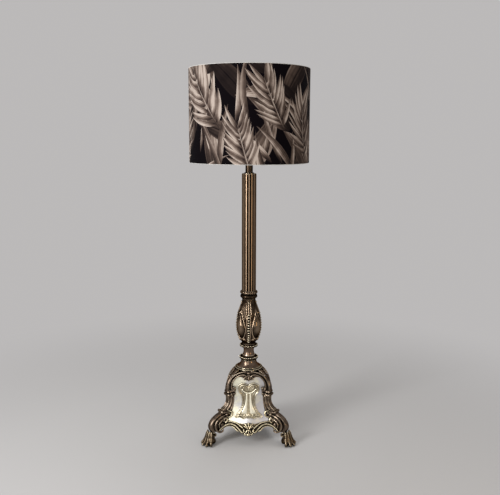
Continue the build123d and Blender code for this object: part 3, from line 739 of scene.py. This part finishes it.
def makePaw():
    look = {
        "grain": 0.58, "softness": 2, "centre": 106.0, "step": 26.0, "ankleTop": 32.4,
        "balls": [((113.5, 0, 11), (14, 11.5, 11)), ((111.5, 0, 22), (11.5, 10.6, 11)),
                  ((105, 0, 7), (7.6, 6.8, 9))],
        "toe": [(13.6, 34.2, 1.9), (15.8, 28.6, 2.2), (18.0, 21.0, 2.4), (20.6, 14.4, 2.7), (23.6, 9.0, 3.2)],
        "toeTip": 28.0, "webTip": 24.0, "tipHigh": 4.6, "tipThick": 3.6, "webIn": 2.2, "tipBow": 0.32,
        "ankleCurl": [(106.0, 7.4, 31.4, 2.0), (101.8, 8.0, 28.4, 2.2), (101.4, 8.2, 24.0, 2.2),
                      (104.6, 8.4, 22.6, 2.0)],
    }
    blob = newBlob()
    for centre, size in look["balls"]:
        addBall(blob, centre, size)
    blob["points"] = [Vector((p.x, p.y, min(p.z, look["ankleTop"]))) for p in blob["points"]]
    for half in range(-4, 5):  # five toes, and the webs between them
        turn = math.radians(look["step"] * half / 2)
        web = half % 2
        tip = (look["webTip"] if web else look["toeTip"]) - look["tipBow"] * half ** 2
        path = []
        for reach, z, thick in (*look["toe"], (tip, look["tipHigh"], look["tipThick"])):
            reach = min(reach, tip) - look["webIn"] * web
            path.append((look["centre"] + reach * math.cos(turn), reach * math.sin(turn), z, thick))
        tubeAlong(blob, path, 12)
    for flip in (1, -1):
        tubeAlong(blob, [(x, flip * y, z, thick) for x, y, z, thick in look["ankleCurl"]])
    # it stands flat
    blob["points"] = [Vector((p.x, p.y, max(p.z, 0.0))) for p in blob["points"]]
    return castMesh("pawCast", blob, look)


print("castings of the base")
legAngles = [-30, 90, 210]
faceAngles = [0, 120, 240]
turnedCopies(makeLeg(), "legCasting", "leg", legAngles, agedBrass)
turnedCopies(makePaw(), "pawCasting", "paw", legAngles, pawBrass)
turnedCopies(makeArch(), "archCasting", "arch", faceAngles, agedBrass)
turnedCopies(makeApron(), "apronCasting", "apron", faceAngles, giltBrass)
turnedCopies(makeShield(), "shieldCasting", "shield", faceAngles, [shieldBrass, giltAndPaintedHighlight])


# the baluster

def makeBaluster():
    look = {
        "around": 300, "rows": 240,
        "profile": [(252.5, 17.4), (256.5, 18.0), (263.0, 22.4), (274.0, 26.8), (290.0, 30.2), (306.0, 30.8),
                    (322.0, 29.0), (338.0, 25.8), (352.0, 20.8), (362.0, 17.0), (365.0, 17.4), (370.0, 17.1)],
        # the lobes: how proud, their middle's height, their half width in degrees, their reach up and down
        "lobe": 5.4, "lobeMiddle": 298.0, "lobeHalf": 25.0, "lobeUp": 36.0, "lobeDown": 25.0,
        "lobePoint": 70.0, "rimAt": 1.20, "rimHalf": 0.17, "rim": 2.0, "rimTop": 345.0,
        # the channel's edges, and the stalk and its ridges over it
        "rib": 1.5, "ribAt": 8.5, "ribHalf": 3.2, "stalk": 334.0, "stalkHalf": 17.0, "ridge": 1.5,
        "veins": (318.0, 362.0), "vein": 0.7,
        "curls": ((13.0, 268.0, 5.2), (22.0, 266.0, 3.4)),  # (degrees from the lobe's middle, height, size)
    }
    heights, radii = zip(*look["profile"])

    def hump(value, centre, width):
        d = abs(value - centre) / width
        return (1 - d * d) ** 2 if d < 1 else 0.0

    def surface(z, angle):
        # the radius here, and the share of polish: there the metal is smoother and painted brighter, a
        # painted highlight
        radius = float(np.interp(z, heights, radii))
        side = (math.degrees(angle) + 3600) % 90 - 45  # from the middle of the nearest lobe
        fromRib = 45 - abs(side)
        up = z - look["lobeMiddle"]
        narrow = look["lobeHalf"] * (1 - max(up, 0.0) / look["lobePoint"])  # the lobe's top is pointed
        lobe = math.hypot(side / narrow, up / (look["lobeUp"] if up > 0 else look["lobeDown"]))
        polishAndHighlight = 0.0
        if lobe < 1:
            radius += look["lobe"] * math.sqrt(1 - lobe * lobe)
            # painted highlight: only the lobes' upper parts, above 272 mm, are painted brighter
            polishAndHighlight = 0.62 * min(1.0, 1.7 * (1 - lobe)) * min(1.0, max(0.0, (z - 272) / 22))
        rim = hump(lobe, look["rimAt"], look["rimHalf"])
        radius += look["rim"] * rim * (z < look["rimTop"])
        polishAndHighlight = max(polishAndHighlight, 0.8 * rim)
        foot = min(1.0, max(0.0, (z - 257) / 5))
        if z < look["stalk"]:
            radius += look["rib"] * hump(fromRib, look["ribAt"], look["ribHalf"]) * foot
        else:
            ridge = max(0.0, math.cos(math.radians(fromRib * 27))) * (fromRib < look["stalkHalf"])
            radius += look["ridge"] * foot * ridge * min(1.0, (366 - z) / 5 if z < 366 else 0.0)
            polishAndHighlight = max(polishAndHighlight, 0.35 * ridge)
        low, high = look["veins"]
        if low < z < high and fromRib > 15:  # leaf veins that slant down from the stalk
            rise = min(1.0, (z - low) / 12) * min(1.0, (high - z) / 10)
            radius += rise * look["vein"] * math.cos(0.10 * (z - low) - 0.26 * abs(side)) ** 2
        for place, height, size in look["curls"]:
            curl = math.hypot((abs(side) - place) * 0.46, z - height)
            if curl < size:
                radius += 0.5 * size * math.sqrt(1 - (curl / size) ** 2)
                polishAndHighlight = max(polishAndHighlight, min(1.0, 1.8 * (1 - curl / size)))
        return radius, polishAndHighlight

    points, polishAndHighlightValues = [], []
    count = look["around"]
    for row in range(look["rows"] + 1):
        z = heights[0] + (heights[-1] - heights[0]) * row / look["rows"]
        for k in range(count):
            angle = 2 * math.pi * k / count
            radius, polishAndHighlight = surface(z, angle)
            points.append(polar(radius, angle, z) * mm)
            polishAndHighlightValues.append(polishAndHighlight)
    faces = []
    for row in range(look["rows"]):
        for k in range(count):
            n = (k + 1) % count
            faces.append((row * count + k, row * count + n, (row + 1) * count + n, (row + 1) * count + k))
    faces.append(tuple(reversed(range(count))))
    faces.append(tuple(look["rows"] * count + k for k in range(count)))
    mesh = bpy.data.meshes.new("balusterCasting")
    mesh.from_pydata(points, [], faces)
    mesh.attributes.new("polishAndHighlight", "FLOAT", "POINT").data.foreach_set("value", polishAndHighlightValues)
    mesh.shade_smooth()
    piece = makeObject("balusterCasting", mesh, balusterBrass)
    soften = piece.modifiers.new("soften", "SMOOTH")
    soften.factor = 0.4
    soften.iterations = 1
    applied(piece)
    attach(piece, "stand")
    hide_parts("baluster")
    return surface


print("baluster")
balusterSurface = makeBaluster()


def makeNeckLines():
    # thin bright rings round the neck's foot; their bright brass paints the highlight along its steps
    look = {"grain": 0.5, "softness": 2,  # each line is (radius, height, thickness)
            "lines": ((34.4, 189.4, 1.1), (30.6, 192.2, 1.0), (20.2, 209.2, 0.7))}
    blob = newBlob()
    for radius, height, thick in look["lines"]:
        ring = [polar(radius, 2 * math.pi * k / 72, height) for k in range(73)]
        addTube(blob, ring, [thick] * 73)
    piece = makeObject("neckLines", castMesh("neckLinesCast", blob, look), beadBrass)
    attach(piece, "stand")


makeNeckLines()


# beads, by one Geometry Nodes tree

def beadTree():
    tree = bpy.data.node_groups.new("beadRow", "GeometryNodeTree")
    tree.interface.new_socket("Geometry", in_out="OUTPUT", socket_type="NodeSocketGeometry")
    for name, kind in (("Geometry", "Geometry"), ("Count", "Int"), ("Size", "Vector"),
                       ("Finish", "Material")):
        tree.interface.new_socket(name, in_out="INPUT", socket_type="NodeSocket" + kind)
    given = addNode(tree, "NodeGroupInput").outputs
    spots = addNode(tree, "GeometryNodeResampleCurve", {"Curve": given["Geometry"], "Count": given["Count"]})
    ball = addNode(tree, "GeometryNodeMeshUVSphere", {"Segments": 10, "Rings": 7, "Radius": 1.0})
    smooth = addNode(tree, "GeometryNodeSetShadeSmooth", {"Geometry": ball.outputs["Mesh"]})
    spread = addNode(tree, "GeometryNodeInstanceOnPoints", {"Points": spots.outputs["Curve"],
                                                            "Instance": smooth.outputs["Geometry"],
                                                            "Scale": given["Size"]})
    realize = addNode(tree, "GeometryNodeRealizeInstances", {"Geometry": spread.outputs["Instances"]})
    finish = addNode(tree, "GeometryNodeSetMaterial", {"Geometry": realize.outputs["Geometry"],
                                                       "Material": given["Finish"]})
    addNode(tree, "NodeGroupOutput", {"Geometry": finish.outputs["Geometry"]})
    return tree


beads = beadTree()


def beadRow(name, routes, count, material):
    # routes is a list of (points, closed, bead size); the rows become one mesh
    parts = []
    for number, (points, closed, size) in enumerate(routes):
        line = bpy.data.curves.new(f"{name}Line{number}", "CURVE")
        line.dimensions = "3D"
        spline = line.splines.new("POLY")
        spline.points.add(len(points) - 1)
        for point, place in zip(spline.points, points):
            point.co = (*(place * mm), 1.0)
        spline.use_cyclic_u = closed
        source = bpy.data.objects.new(f"{name}Line{number}", line)
        bpy.context.scene.collection.objects.link(source)
        modifier = source.modifiers.new("beads", "NODES")
        modifier.node_group = beads
        values = {"Count": count, "Size": [part * mm for part in size], "Finish": material}
        for item in beads.interface.items_tree:
            if item.item_type == "SOCKET" and item.in_out == "INPUT" and item.name in values:
                modifier[item.identifier] = values[item.name]
        depsgraph = bpy.context.evaluated_depsgraph_get()
        parts.append(bpy.data.meshes.new_from_object(source.evaluated_get(depsgraph)))
        bpy.data.objects.remove(source)
    bm = bmesh.new()
    for part in parts:
        bm.from_mesh(part)
    mesh = bpy.data.meshes.new(name)
    bm.to_mesh(mesh)
    bm.free()
    piece = makeObject(name, mesh, material)
    mesh.shade_smooth()
    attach(piece, "stand")
    return piece


def hoop(radius, height, size):
    return ([polar(radius, 2 * math.pi * k / 96, height) for k in range(96)], True, size)


print("beads")
beadLook = {
    # a hoop is (radius, height, a bead's half sizes), all in mm
    "lowerDish": (22.8, 217.0, (1.7, 1.7, 1.5)), "upperDish": (22.0, 248.6, (1.6, 1.6, 1.4)), "dishCount": 32,
    "collar": (20.7, 387.3, (1.7, 1.7, 3.0)), "collarCount": 28,
    # the four rows between the baluster's lobes; a bead is (out, across, up)
    "rowFoot": 261.5, "rowRise": 71.0, "rowCount": 12, "proud": 1.1, "rowBead": (2.0, 3.4, 1.8),
    "knobRadius": 18.4, "knobHeight": 362.0, "knob": (2.2, 2.2, 2.2),
}
beadRow("lowerDishBeads", [hoop(*beadLook["lowerDish"])], beadLook["dishCount"], beadBrass)
beadRow("upperDishBeads", [hoop(*beadLook["upperDish"])], beadLook["dishCount"], beadBrass)
beadRow("collarGadroons", [hoop(*beadLook["collar"])], beadLook["collarCount"], balusterBrass)
ribRows, knobs = [], []
out, across, up = beadLook["rowBead"]
rise = [beadLook["rowFoot"] + beadLook["rowRise"] * (k / 24) ** 0.94 for k in range(25)]
for quarter in range(4):
    turn = math.radians(90 * quarter)
    size = (across, out, up) if quarter % 2 else (out, across, up)
    line = [polar(balusterSurface(z, turn)[0] + beadLook["proud"], turn, z) for z in rise]
    ribRows.append((line, False, size))
    spot = [polar(beadLook["knobRadius"], turn, beadLook["knobHeight"] + step) for step in (0.0, 0.4)]
    knobs.append((spot, False, beadLook["knob"]))
beadRow("balusterBeads", ribRows, beadLook["rowCount"], beadBrass)
beadRow("balusterKnobs", knobs, 1, beadBrass)


# the shade

clothLow, clothHigh = (Vector(corner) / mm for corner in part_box("shade_fabric"))
cloth = {"radius": clothHigh.y, "bottom": clothLow.z, "height": clothHigh.z - clothLow.z, "roll": 2.4,
         "lip": 2.6, "thick": 0.4, "overlap": 8.0, "cell": 5.0}
clothRound = 2 * math.pi * cloth["radius"]
clothWidth = clothRound + cloth["overlap"]
rollLength = math.pi * cloth["roll"]
wallLength = cloth["height"] - 2 * cloth["roll"]
clothHeight = 2 * cloth["lip"] + 2 * rollLength + wallLength


def clothProfile(v):
    # from the bottom's inner lip, round the roll, up the wall and in again: (radius, height)
    inner = cloth["radius"] - 2 * cloth["roll"]
    low = cloth["bottom"] + cloth["roll"]
    high = cloth["bottom"] + cloth["height"] - cloth["roll"]
    if v < cloth["lip"]:
        return inner, low + cloth["lip"] - v
    v -= cloth["lip"]
    if v < rollLength:
        a = v / cloth["roll"]
        return inner + cloth["roll"] * (1 - math.cos(a)), low - cloth["roll"] * math.sin(a)
    v -= rollLength
    if v < wallLength:
        return cloth["radius"], low + v
    v -= wallLength
    if v < rollLength:
        a = v / cloth["roll"]
        return inner + cloth["roll"] * (1 + math.cos(a)), high + cloth["roll"] * math.sin(a)
    return inner, high - (v - rollLength)


def growLeaf(base, heading, length, width, bend, tone, seed):
    # a blade that bends as it grows; tone is how light it is printed
    steps = 14
    line = [np.array(base, float)]
    for k in range(steps):
        angle = heading + bend * (k + 0.5) / steps
        line.append(line[-1] + np.array((math.cos(angle), math.sin(angle))) * length / steps)
    line = np.array(line)
    run = np.gradient(line, axis=0)
    normal = np.stack((-run[:, 1], run[:, 0]), 1) / np.linalg.norm(run, axis=1)[:, None]
    reach = leafReach(np.linspace(0, 1, steps + 1), width)[:, None]
    outline = np.concatenate((line + normal * reach, (line - normal * reach)[::-1]))
    return {"line": line, "outline": outline, "length": length, "width": width, "tone": tone, "seed": seed}


def leafReach(s, width):
    return 0.5 * width * np.sin(np.pi * s ** 0.72) ** 0.85 + 0.12


def insideLeaf(leaf, points):
    # which points lie within the blade's outline
    count = np.zeros(len(points), bool)
    outline = leaf["outline"]
    for (x1, y1), (x2, y2) in zip(outline, np.roll(outline, -1, axis=0)):
        if y1 != y2:
            crosses = ((points[:, 1] > y1) != (points[:, 1] > y2)) & (
                points[:, 0] < x1 + (x2 - x1) * (points[:, 1] - y1) / (y2 - y1))
            count ^= crosses
    return count


def alongLeaf(leaf, points):
    # how far along the blade each point lies, and how far across it
    a, run = leaf["line"][:-1], np.diff(leaf["line"], axis=0)
    offset = points[:, None, :] - a[None]
    share = np.clip((offset * run).sum(2) / (run * run).sum(1), 0, 1)
    near = a + run * share[:, :, None]
    gap = points[:, None, :] - near
    k = (gap ** 2).sum(2).argmin(1)
    row = np.arange(len(points))
    s = (k + share[row, k]) / len(run)
    across = (run[k, 0] * gap[row, k, 1] - run[k, 1] * gap[row, k, 0]) / np.linalg.norm(run[k], axis=1)
    return s, np.clip(across / leafReach(s, leaf["width"]), -1, 1)


def drawFoliage():
    # broad leaves at the back, reeds over them, and feather-shaped fronds in front
    look = {"seed": 31,
            "broad": {"count": 46, "heading": (0.3, 2.8), "length": (110, 190), "width": (34, 58),
                      "bend": (-0.7, 0.7), "tones": (0.22, 0.4, 0.62, 0.9)},
            "reeds": {"count": 64, "heading": (0.7, 2.4), "length": (90, 180), "width": (9, 17),
                      "bend": (-0.9, 0.9), "tone": (0.45, 0.95)},
            "fronds": {"count": 13, "leaflets": 9, "lean": (0.25, 1.15), "bend": (0.1, 0.9),
                       "length": (120, 190), "tone": (0.85, 1.2)}}
    draw = random.Random(look["seed"])
    broad, reeds, fronds = look["broad"], look["reeds"], look["fronds"]
    leaves = []
    for n in range(broad["count"]):
        base = (clothWidth * (n + draw.random()) / broad["count"], draw.uniform(-30, clothHeight))
        leaves.append(growLeaf(base, draw.uniform(*broad["heading"]), draw.uniform(*broad["length"]),
                               draw.uniform(*broad["width"]), draw.uniform(*broad["bend"]),
                               draw.choice(broad["tones"]), draw.random()))
    for n in range(reeds["count"]):
        base = (clothWidth * (n + draw.random()) / reeds["count"], draw.uniform(-60, 120))
        leaves.append(growLeaf(base, draw.uniform(*reeds["heading"]), draw.uniform(*reeds["length"]),
                               draw.uniform(*reeds["width"]), draw.uniform(*reeds["bend"]),
                               draw.uniform(*reeds["tone"]), draw.random()))
    for n in range(fronds["count"]):
        base = (clothWidth * (n + 0.25 + 0.5 * draw.random()) / fronds["count"], draw.uniform(-20, 150))
        lean = draw.choice((-1, 1))
        heading = math.pi / 2 + lean * draw.uniform(*fronds["lean"])
        bend = -lean * draw.uniform(*fronds["bend"])
        reach = draw.uniform(*fronds["length"])
        tone = draw.uniform(*fronds["tone"])
        stem = growLeaf(base, heading, reach, 3.2, bend, 0.9, draw.random())
        for k in range(fronds["leaflets"]):
            s = 0.10 + 0.86 * k / fronds["leaflets"]
            at = [np.interp(s, np.linspace(0, 1, len(stem["line"])), stem["line"][:, axis])
                  for axis in (0, 1)]
            long = (62 + 34 * math.sin(math.pi * (0.15 + 0.75 * s))) * reach / 170
            for flip in (-1, 1):
                spread = flip * (0.95 - 0.5 * s) + draw.uniform(-0.06, 0.06)
                leaves.append(growLeaf(at, heading + bend * s + spread, long * draw.uniform(0.9, 1.08),
                                       draw.uniform(11, 15) * reach / 170, -flip * draw.uniform(0.15, 0.5),
                                       tone * draw.uniform(0.82, 1.08), draw.random()))
        leaves.append(stem)
    return leaves


def makeShadeCloth(material):
    leaves = drawFoliage()
    points, edges = [], []

    def addLine(line, closed):
        start = len(points)
        points.extend(Vector(p) for p in line)
        edges.extend((start + k, start + k + 1) for k in range(len(line) - 1))
        if closed:
            edges.append((len(points) - 1, start))

    for leaf in leaves:
        addLine(leaf["outline"], True)
    # level lines, so that the cloth follows the drum and its rolled edges
    columns = int(clothWidth / cloth["cell"])
    curl = [cloth["lip"] + rollLength * k / 6 for k in range(7)]
    levels = [0.0] + curl
    levels += [cloth["lip"] + rollLength + wallLength * k / 40 for k in range(1, 40)]
    levels += [clothHeight - v for v in reversed(curl)] + [clothHeight]
    for v in levels:
        addLine([(clothWidth * k / columns, v) for k in range(columns + 1)], False)
    addLine([(0, 0), (clothWidth, 0), (clothWidth, clothHeight), (0, clothHeight)], True)
    verts, _, tris, _, _, _ = geometry.delaunay_2d_cdt(points, edges, [], 0, 1e-4, False)
    flatPlaces = np.array([tuple(v) for v in verts])
    tris = np.array([t for t in tris if len(t) == 3])
    middles = flatPlaces[tris].mean(axis=1)
    onCloth = ((middles > 0) & (middles < (clothWidth, clothHeight))).all(axis=1)
    tris, middles = tris[onCloth], middles[onCloth]
    owner = np.full(len(tris), -1)
    for number, leaf in enumerate(leaves):
        low, high = leaf["outline"].min(axis=0), leaf["outline"].max(axis=0)
        near = np.nonzero(((middles > low) & (middles < high)).all(axis=1))[0]
        owner[near[insideLeaf(leaf, middles[near])]] = number
    blade, ink, sheet = (np.zeros((len(tris), 3, 3)) for _ in range(3))
    sheet[:, :, :2] = flatPlaces[tris] * mm
    for number, leaf in enumerate(leaves):
        mine = np.nonzero(owner == number)[0]
        if len(mine):
            s, across = alongLeaf(leaf, flatPlaces[tris[mine]].reshape(-1, 2))
            blade[mine, :, 0] = s.reshape(-1, 3)
            blade[mine, :, 1] = across.reshape(-1, 3)
            blade[mine, :, 2] = leaf["seed"]
            ink[mine] = (leaf["tone"], leaf["width"] / 60, 1.0)
    used, corners = np.unique(tris, return_inverse=True)
    places = []
    for u, w in flatPlaces[used]:
        radius, height = clothProfile(min(max(w, 0.0), clothHeight))
        over = min(max((u - clothRound) / 2.0 + 1.0, 0.0), 1.0)  # the end lies over the start
        places.append(polar(radius + 0.5 * over, math.pi / 2 + u / cloth["radius"], height) * mm)
    mesh = bpy.data.meshes.new("shadeCloth")
    mesh.from_pydata(places, [], corners.reshape(-1, 3).tolist())
    for name, values in (("blade", blade), ("ink", ink), ("sheet", sheet)):
        mesh.attributes.new(name, "FLOAT_VECTOR", "CORNER").data.foreach_set("vector", values.ravel())
    mesh.shade_smooth()
    piece = makeObject("shadeCloth", mesh, material)
    wall = piece.modifiers.new("wall", "SOLIDIFY")
    wall.thickness = cloth["thick"] * mm
    wall.offset = -1.0
    applied(piece)
    print("shade cloth", len(piece.data.polygons), "faces")
    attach(piece, "shade")
    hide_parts("shade_fabric")
    return piece


def makePrint():
    # the printed cotton: each blade shades across, with fine veins and a light rim
    look = {"rough": 0.78, "veins": 9.0, "veinDepth": 0.12, "blotches": 26.0, "threads": 330.0,
            "threadDepth": 0.00012,
            "inks": [(0.0, (0.002, 0.001, 0.002)), (0.20, (0.018, 0.012, 0.011)),
                     (0.48, (0.098, 0.069, 0.056)), (0.75, (0.25, 0.195, 0.165)),
                     (1.0, (0.46, 0.385, 0.335))]}
    material, shader = newMaterial("printedCotton", {"Roughness": look["rough"], "Specular IOR Level": 0.05})
    blade, ink, sheet = (addNode(material, "ShaderNodeAttribute", attribute_name=name).outputs["Vector"]
                         for name in ("blade", "ink", "sheet"))
    along, across, seed = addNode(material, "ShaderNodeSeparateXYZ", {"Vector": blade}).outputs
    tone, width, leafy = addNode(material, "ShaderNodeSeparateXYZ", {"Vector": ink}).outputs
    flip = calc("MULTIPLY_ADD", calc("GREATER_THAN", seed, 0.5), 2.0, -1.0)
    lit = fade(calc("MULTIPLY", across, flip), -1.1, 1.0, 0.42, 1.15)
    away = calc("ABSOLUTE", across)
    veinPhase = calc("ADD", calc("MULTIPLY", across, look["veins"]), calc("MULTIPLY", seed, 30.0))
    veins = calc("SINE", calc("MULTIPLY", veinPhase, calc("ADD", width, 1.0)))
    veins = calc("MULTIPLY_ADD", veins, look["veinDepth"], 1.0)
    rim = calc("MULTIPLY", fade(away, 0.80, 0.93, 0.0, 0.28), tone)
    spine = fade(away, 0.10, 0.0, 0.0, 0.16)
    root = fade(along, 0.0, 0.34, 0.35, 1.0)
    end = fade(along, 0.82, 1.0, 1.0, 0.72)
    blotch = fade(speckle(sheet, look["blotches"], 3.0), 0.3, 0.7, 0.72, 1.2)
    value = calc("MULTIPLY", calc("MULTIPLY", tone, lit), calc("MULTIPLY", veins, root))
    value = calc("MULTIPLY", calc("MULTIPLY", value, end), blotch)
    value = calc("ADD", value, calc("MULTIPLY", calc("SUBTRACT", rim, spine), root))
    value = calc("MULTIPLY", value, leafy, clamp=True)
    ramp = addNode(material, "ShaderNodeValToRGB", {"Fac": value})
    inks = look["inks"]
    ramp.color_ramp.elements[0].color = rgba(inks[0][1])
    ramp.color_ramp.elements[1].color = rgba(inks[-1][1])
    for position, colour in inks[1:-1]:
        ramp.color_ramp.elements.new(position).color = rgba(colour)
    plug(ramp.outputs["Color"], shader.inputs["Base Color"])
    weave = [addNode(material, "ShaderNodeTexWave", {"Vector": sheet, "Scale": look["threads"]},
                     bands_direction=way).outputs["Fac"] for way in ("X", "Y")]
    bumpFrom(shader, calc("ADD", *weave), look["threadDepth"], 0.5)
    return material


print("shade")
printedCotton = makePrint()
makeShadeCloth(printedCotton)


# studio

studio = {
    "pale": (0.50, 0.487, 0.485), "ambient": (0.36, 0.355, 0.355), "floor": (0.56, 0.55, 0.545),
    "floorReach": 4.0, "floorFade": (0.35, 1.3),
    "softboxes": [  # name, place, aim, size, power, colour
        ("windowSoftbox", (-1.45, -1.35, 1.00), (0, 0, 0.42), (0.60, 1.5), 34.0, (1.0, 1.0, 1.0)),
        ("frontSoftbox", (-0.42, -2.20, 0.90), (0, 0, 0.40), (0.55, 1.6), 9.0, (1.0, 0.97, 0.90)),
        ("topSoftbox", (0.2, 0.4, 2.3), (0, 0, 0.5), (0.9, 0.9), 10.0, (1.0, 1.0, 1.0)),
        ("warmSoftbox", (1.03, -1.23, 0.385), (0, 0, 0.50), (0.24, 0.32), 2.1, (1.0, 0.72, 0.38))],
}


def makeFloor():
    # grey cardboard under the lamp, which fades into the wall's colour
    mesh = bpy.data.meshes.new("studioFloor")
    bm = bmesh.new()
    bmesh.ops.create_circle(bm, cap_ends=True, segments=96, radius=studio["floorReach"])
    bm.to_mesh(mesh)
    bm.free()
    material, shader = newMaterial("studioFloor", {"Base Color": rgba(studio["floor"]), "Roughness": 0.85})
    surface = shader.outputs[0].links[0].to_socket
    reach = addNode(material, "ShaderNodeVectorMath", {0: objectPlace(material)},
                    operation="LENGTH").outputs["Value"]
    glow = addNode(material, "ShaderNodeEmission", {"Color": rgba(studio["pale"])})
    blend = addNode(material, "ShaderNodeMixShader",
                    {0: fade(reach, *studio["floorFade"]), 1: shader.outputs[0], 2: glow.outputs[0]})
    plug(blend.outputs[0], surface)
    makeObject("studioFloor", mesh, material)


def makeWorld():
    # the camera, metal and glass see the pale wall; the lamp is lit by a softer one
    world = bpy.data.worlds.new("studioWorld")
    bpy.context.scene.world = world
    world.use_nodes = True
    world.node_tree.nodes.clear()
    soft, pale = (addNode(world, "ShaderNodeBackground", {"Color": rgba(studio[tone])})
                  for tone in ("ambient", "pale"))
    rays = addNode(world, "ShaderNodeLightPath").outputs
    seen = calc("MAXIMUM", calc("MAXIMUM", rays["Is Camera Ray"], rays["Is Glossy Ray"]),
                rays["Is Transmission Ray"])
    blend = addNode(world, "ShaderNodeMixShader", {0: seen, 1: soft.outputs[0], 2: pale.outputs[0]})
    addNode(world, "ShaderNodeOutputWorld", {"Surface": blend.outputs[0]})


def addSoftbox(name, place, aim, size, power, colour):
    lamp = bpy.data.lights.new(name, "AREA")
    lamp.shape = "RECTANGLE"
    lamp.size, lamp.size_y = size
    lamp.energy = power
    lamp.color = colour
    box = bpy.data.objects.new(name, lamp)
    bpy.context.scene.collection.objects.link(box)
    box.location = place
    box.rotation_euler = (Vector(aim) - Vector(place)).to_track_quat("-Z", "Y").to_euler()


def makeCamera():
    # the photograph's view: from standing height, looking a little down
    view = {"distance": 1.649, "height": 0.780, "down": 9.58, "yaw": -0.09, "roll": 0.16, "focal": 47.74}
    camera = bpy.data.cameras.new("camera")
    camera.sensor_width = 36.0
    camera.lens = view["focal"]
    camera.clip_start = 0.05
    holder = bpy.data.objects.new("camera", camera)
    bpy.context.scene.collection.objects.link(holder)
    turn = (Matrix.Rotation(math.radians(view["yaw"]), 4, "Z")
            @ Matrix.Rotation(math.radians(90 - view["down"]), 4, "X")
            @ Matrix.Rotation(math.radians(view["roll"]), 4, "Z"))
    holder.matrix_world = Matrix.Translation((0, -view["distance"], view["height"])) @ turn
    bpy.context.scene.camera = holder


print("studio")
makeFloor()
makeWorld()
for softbox in studio["softboxes"]:
    addSoftbox(*softbox)
makeCamera()
bpy.context.scene.view_settings.view_transform = "Standard"
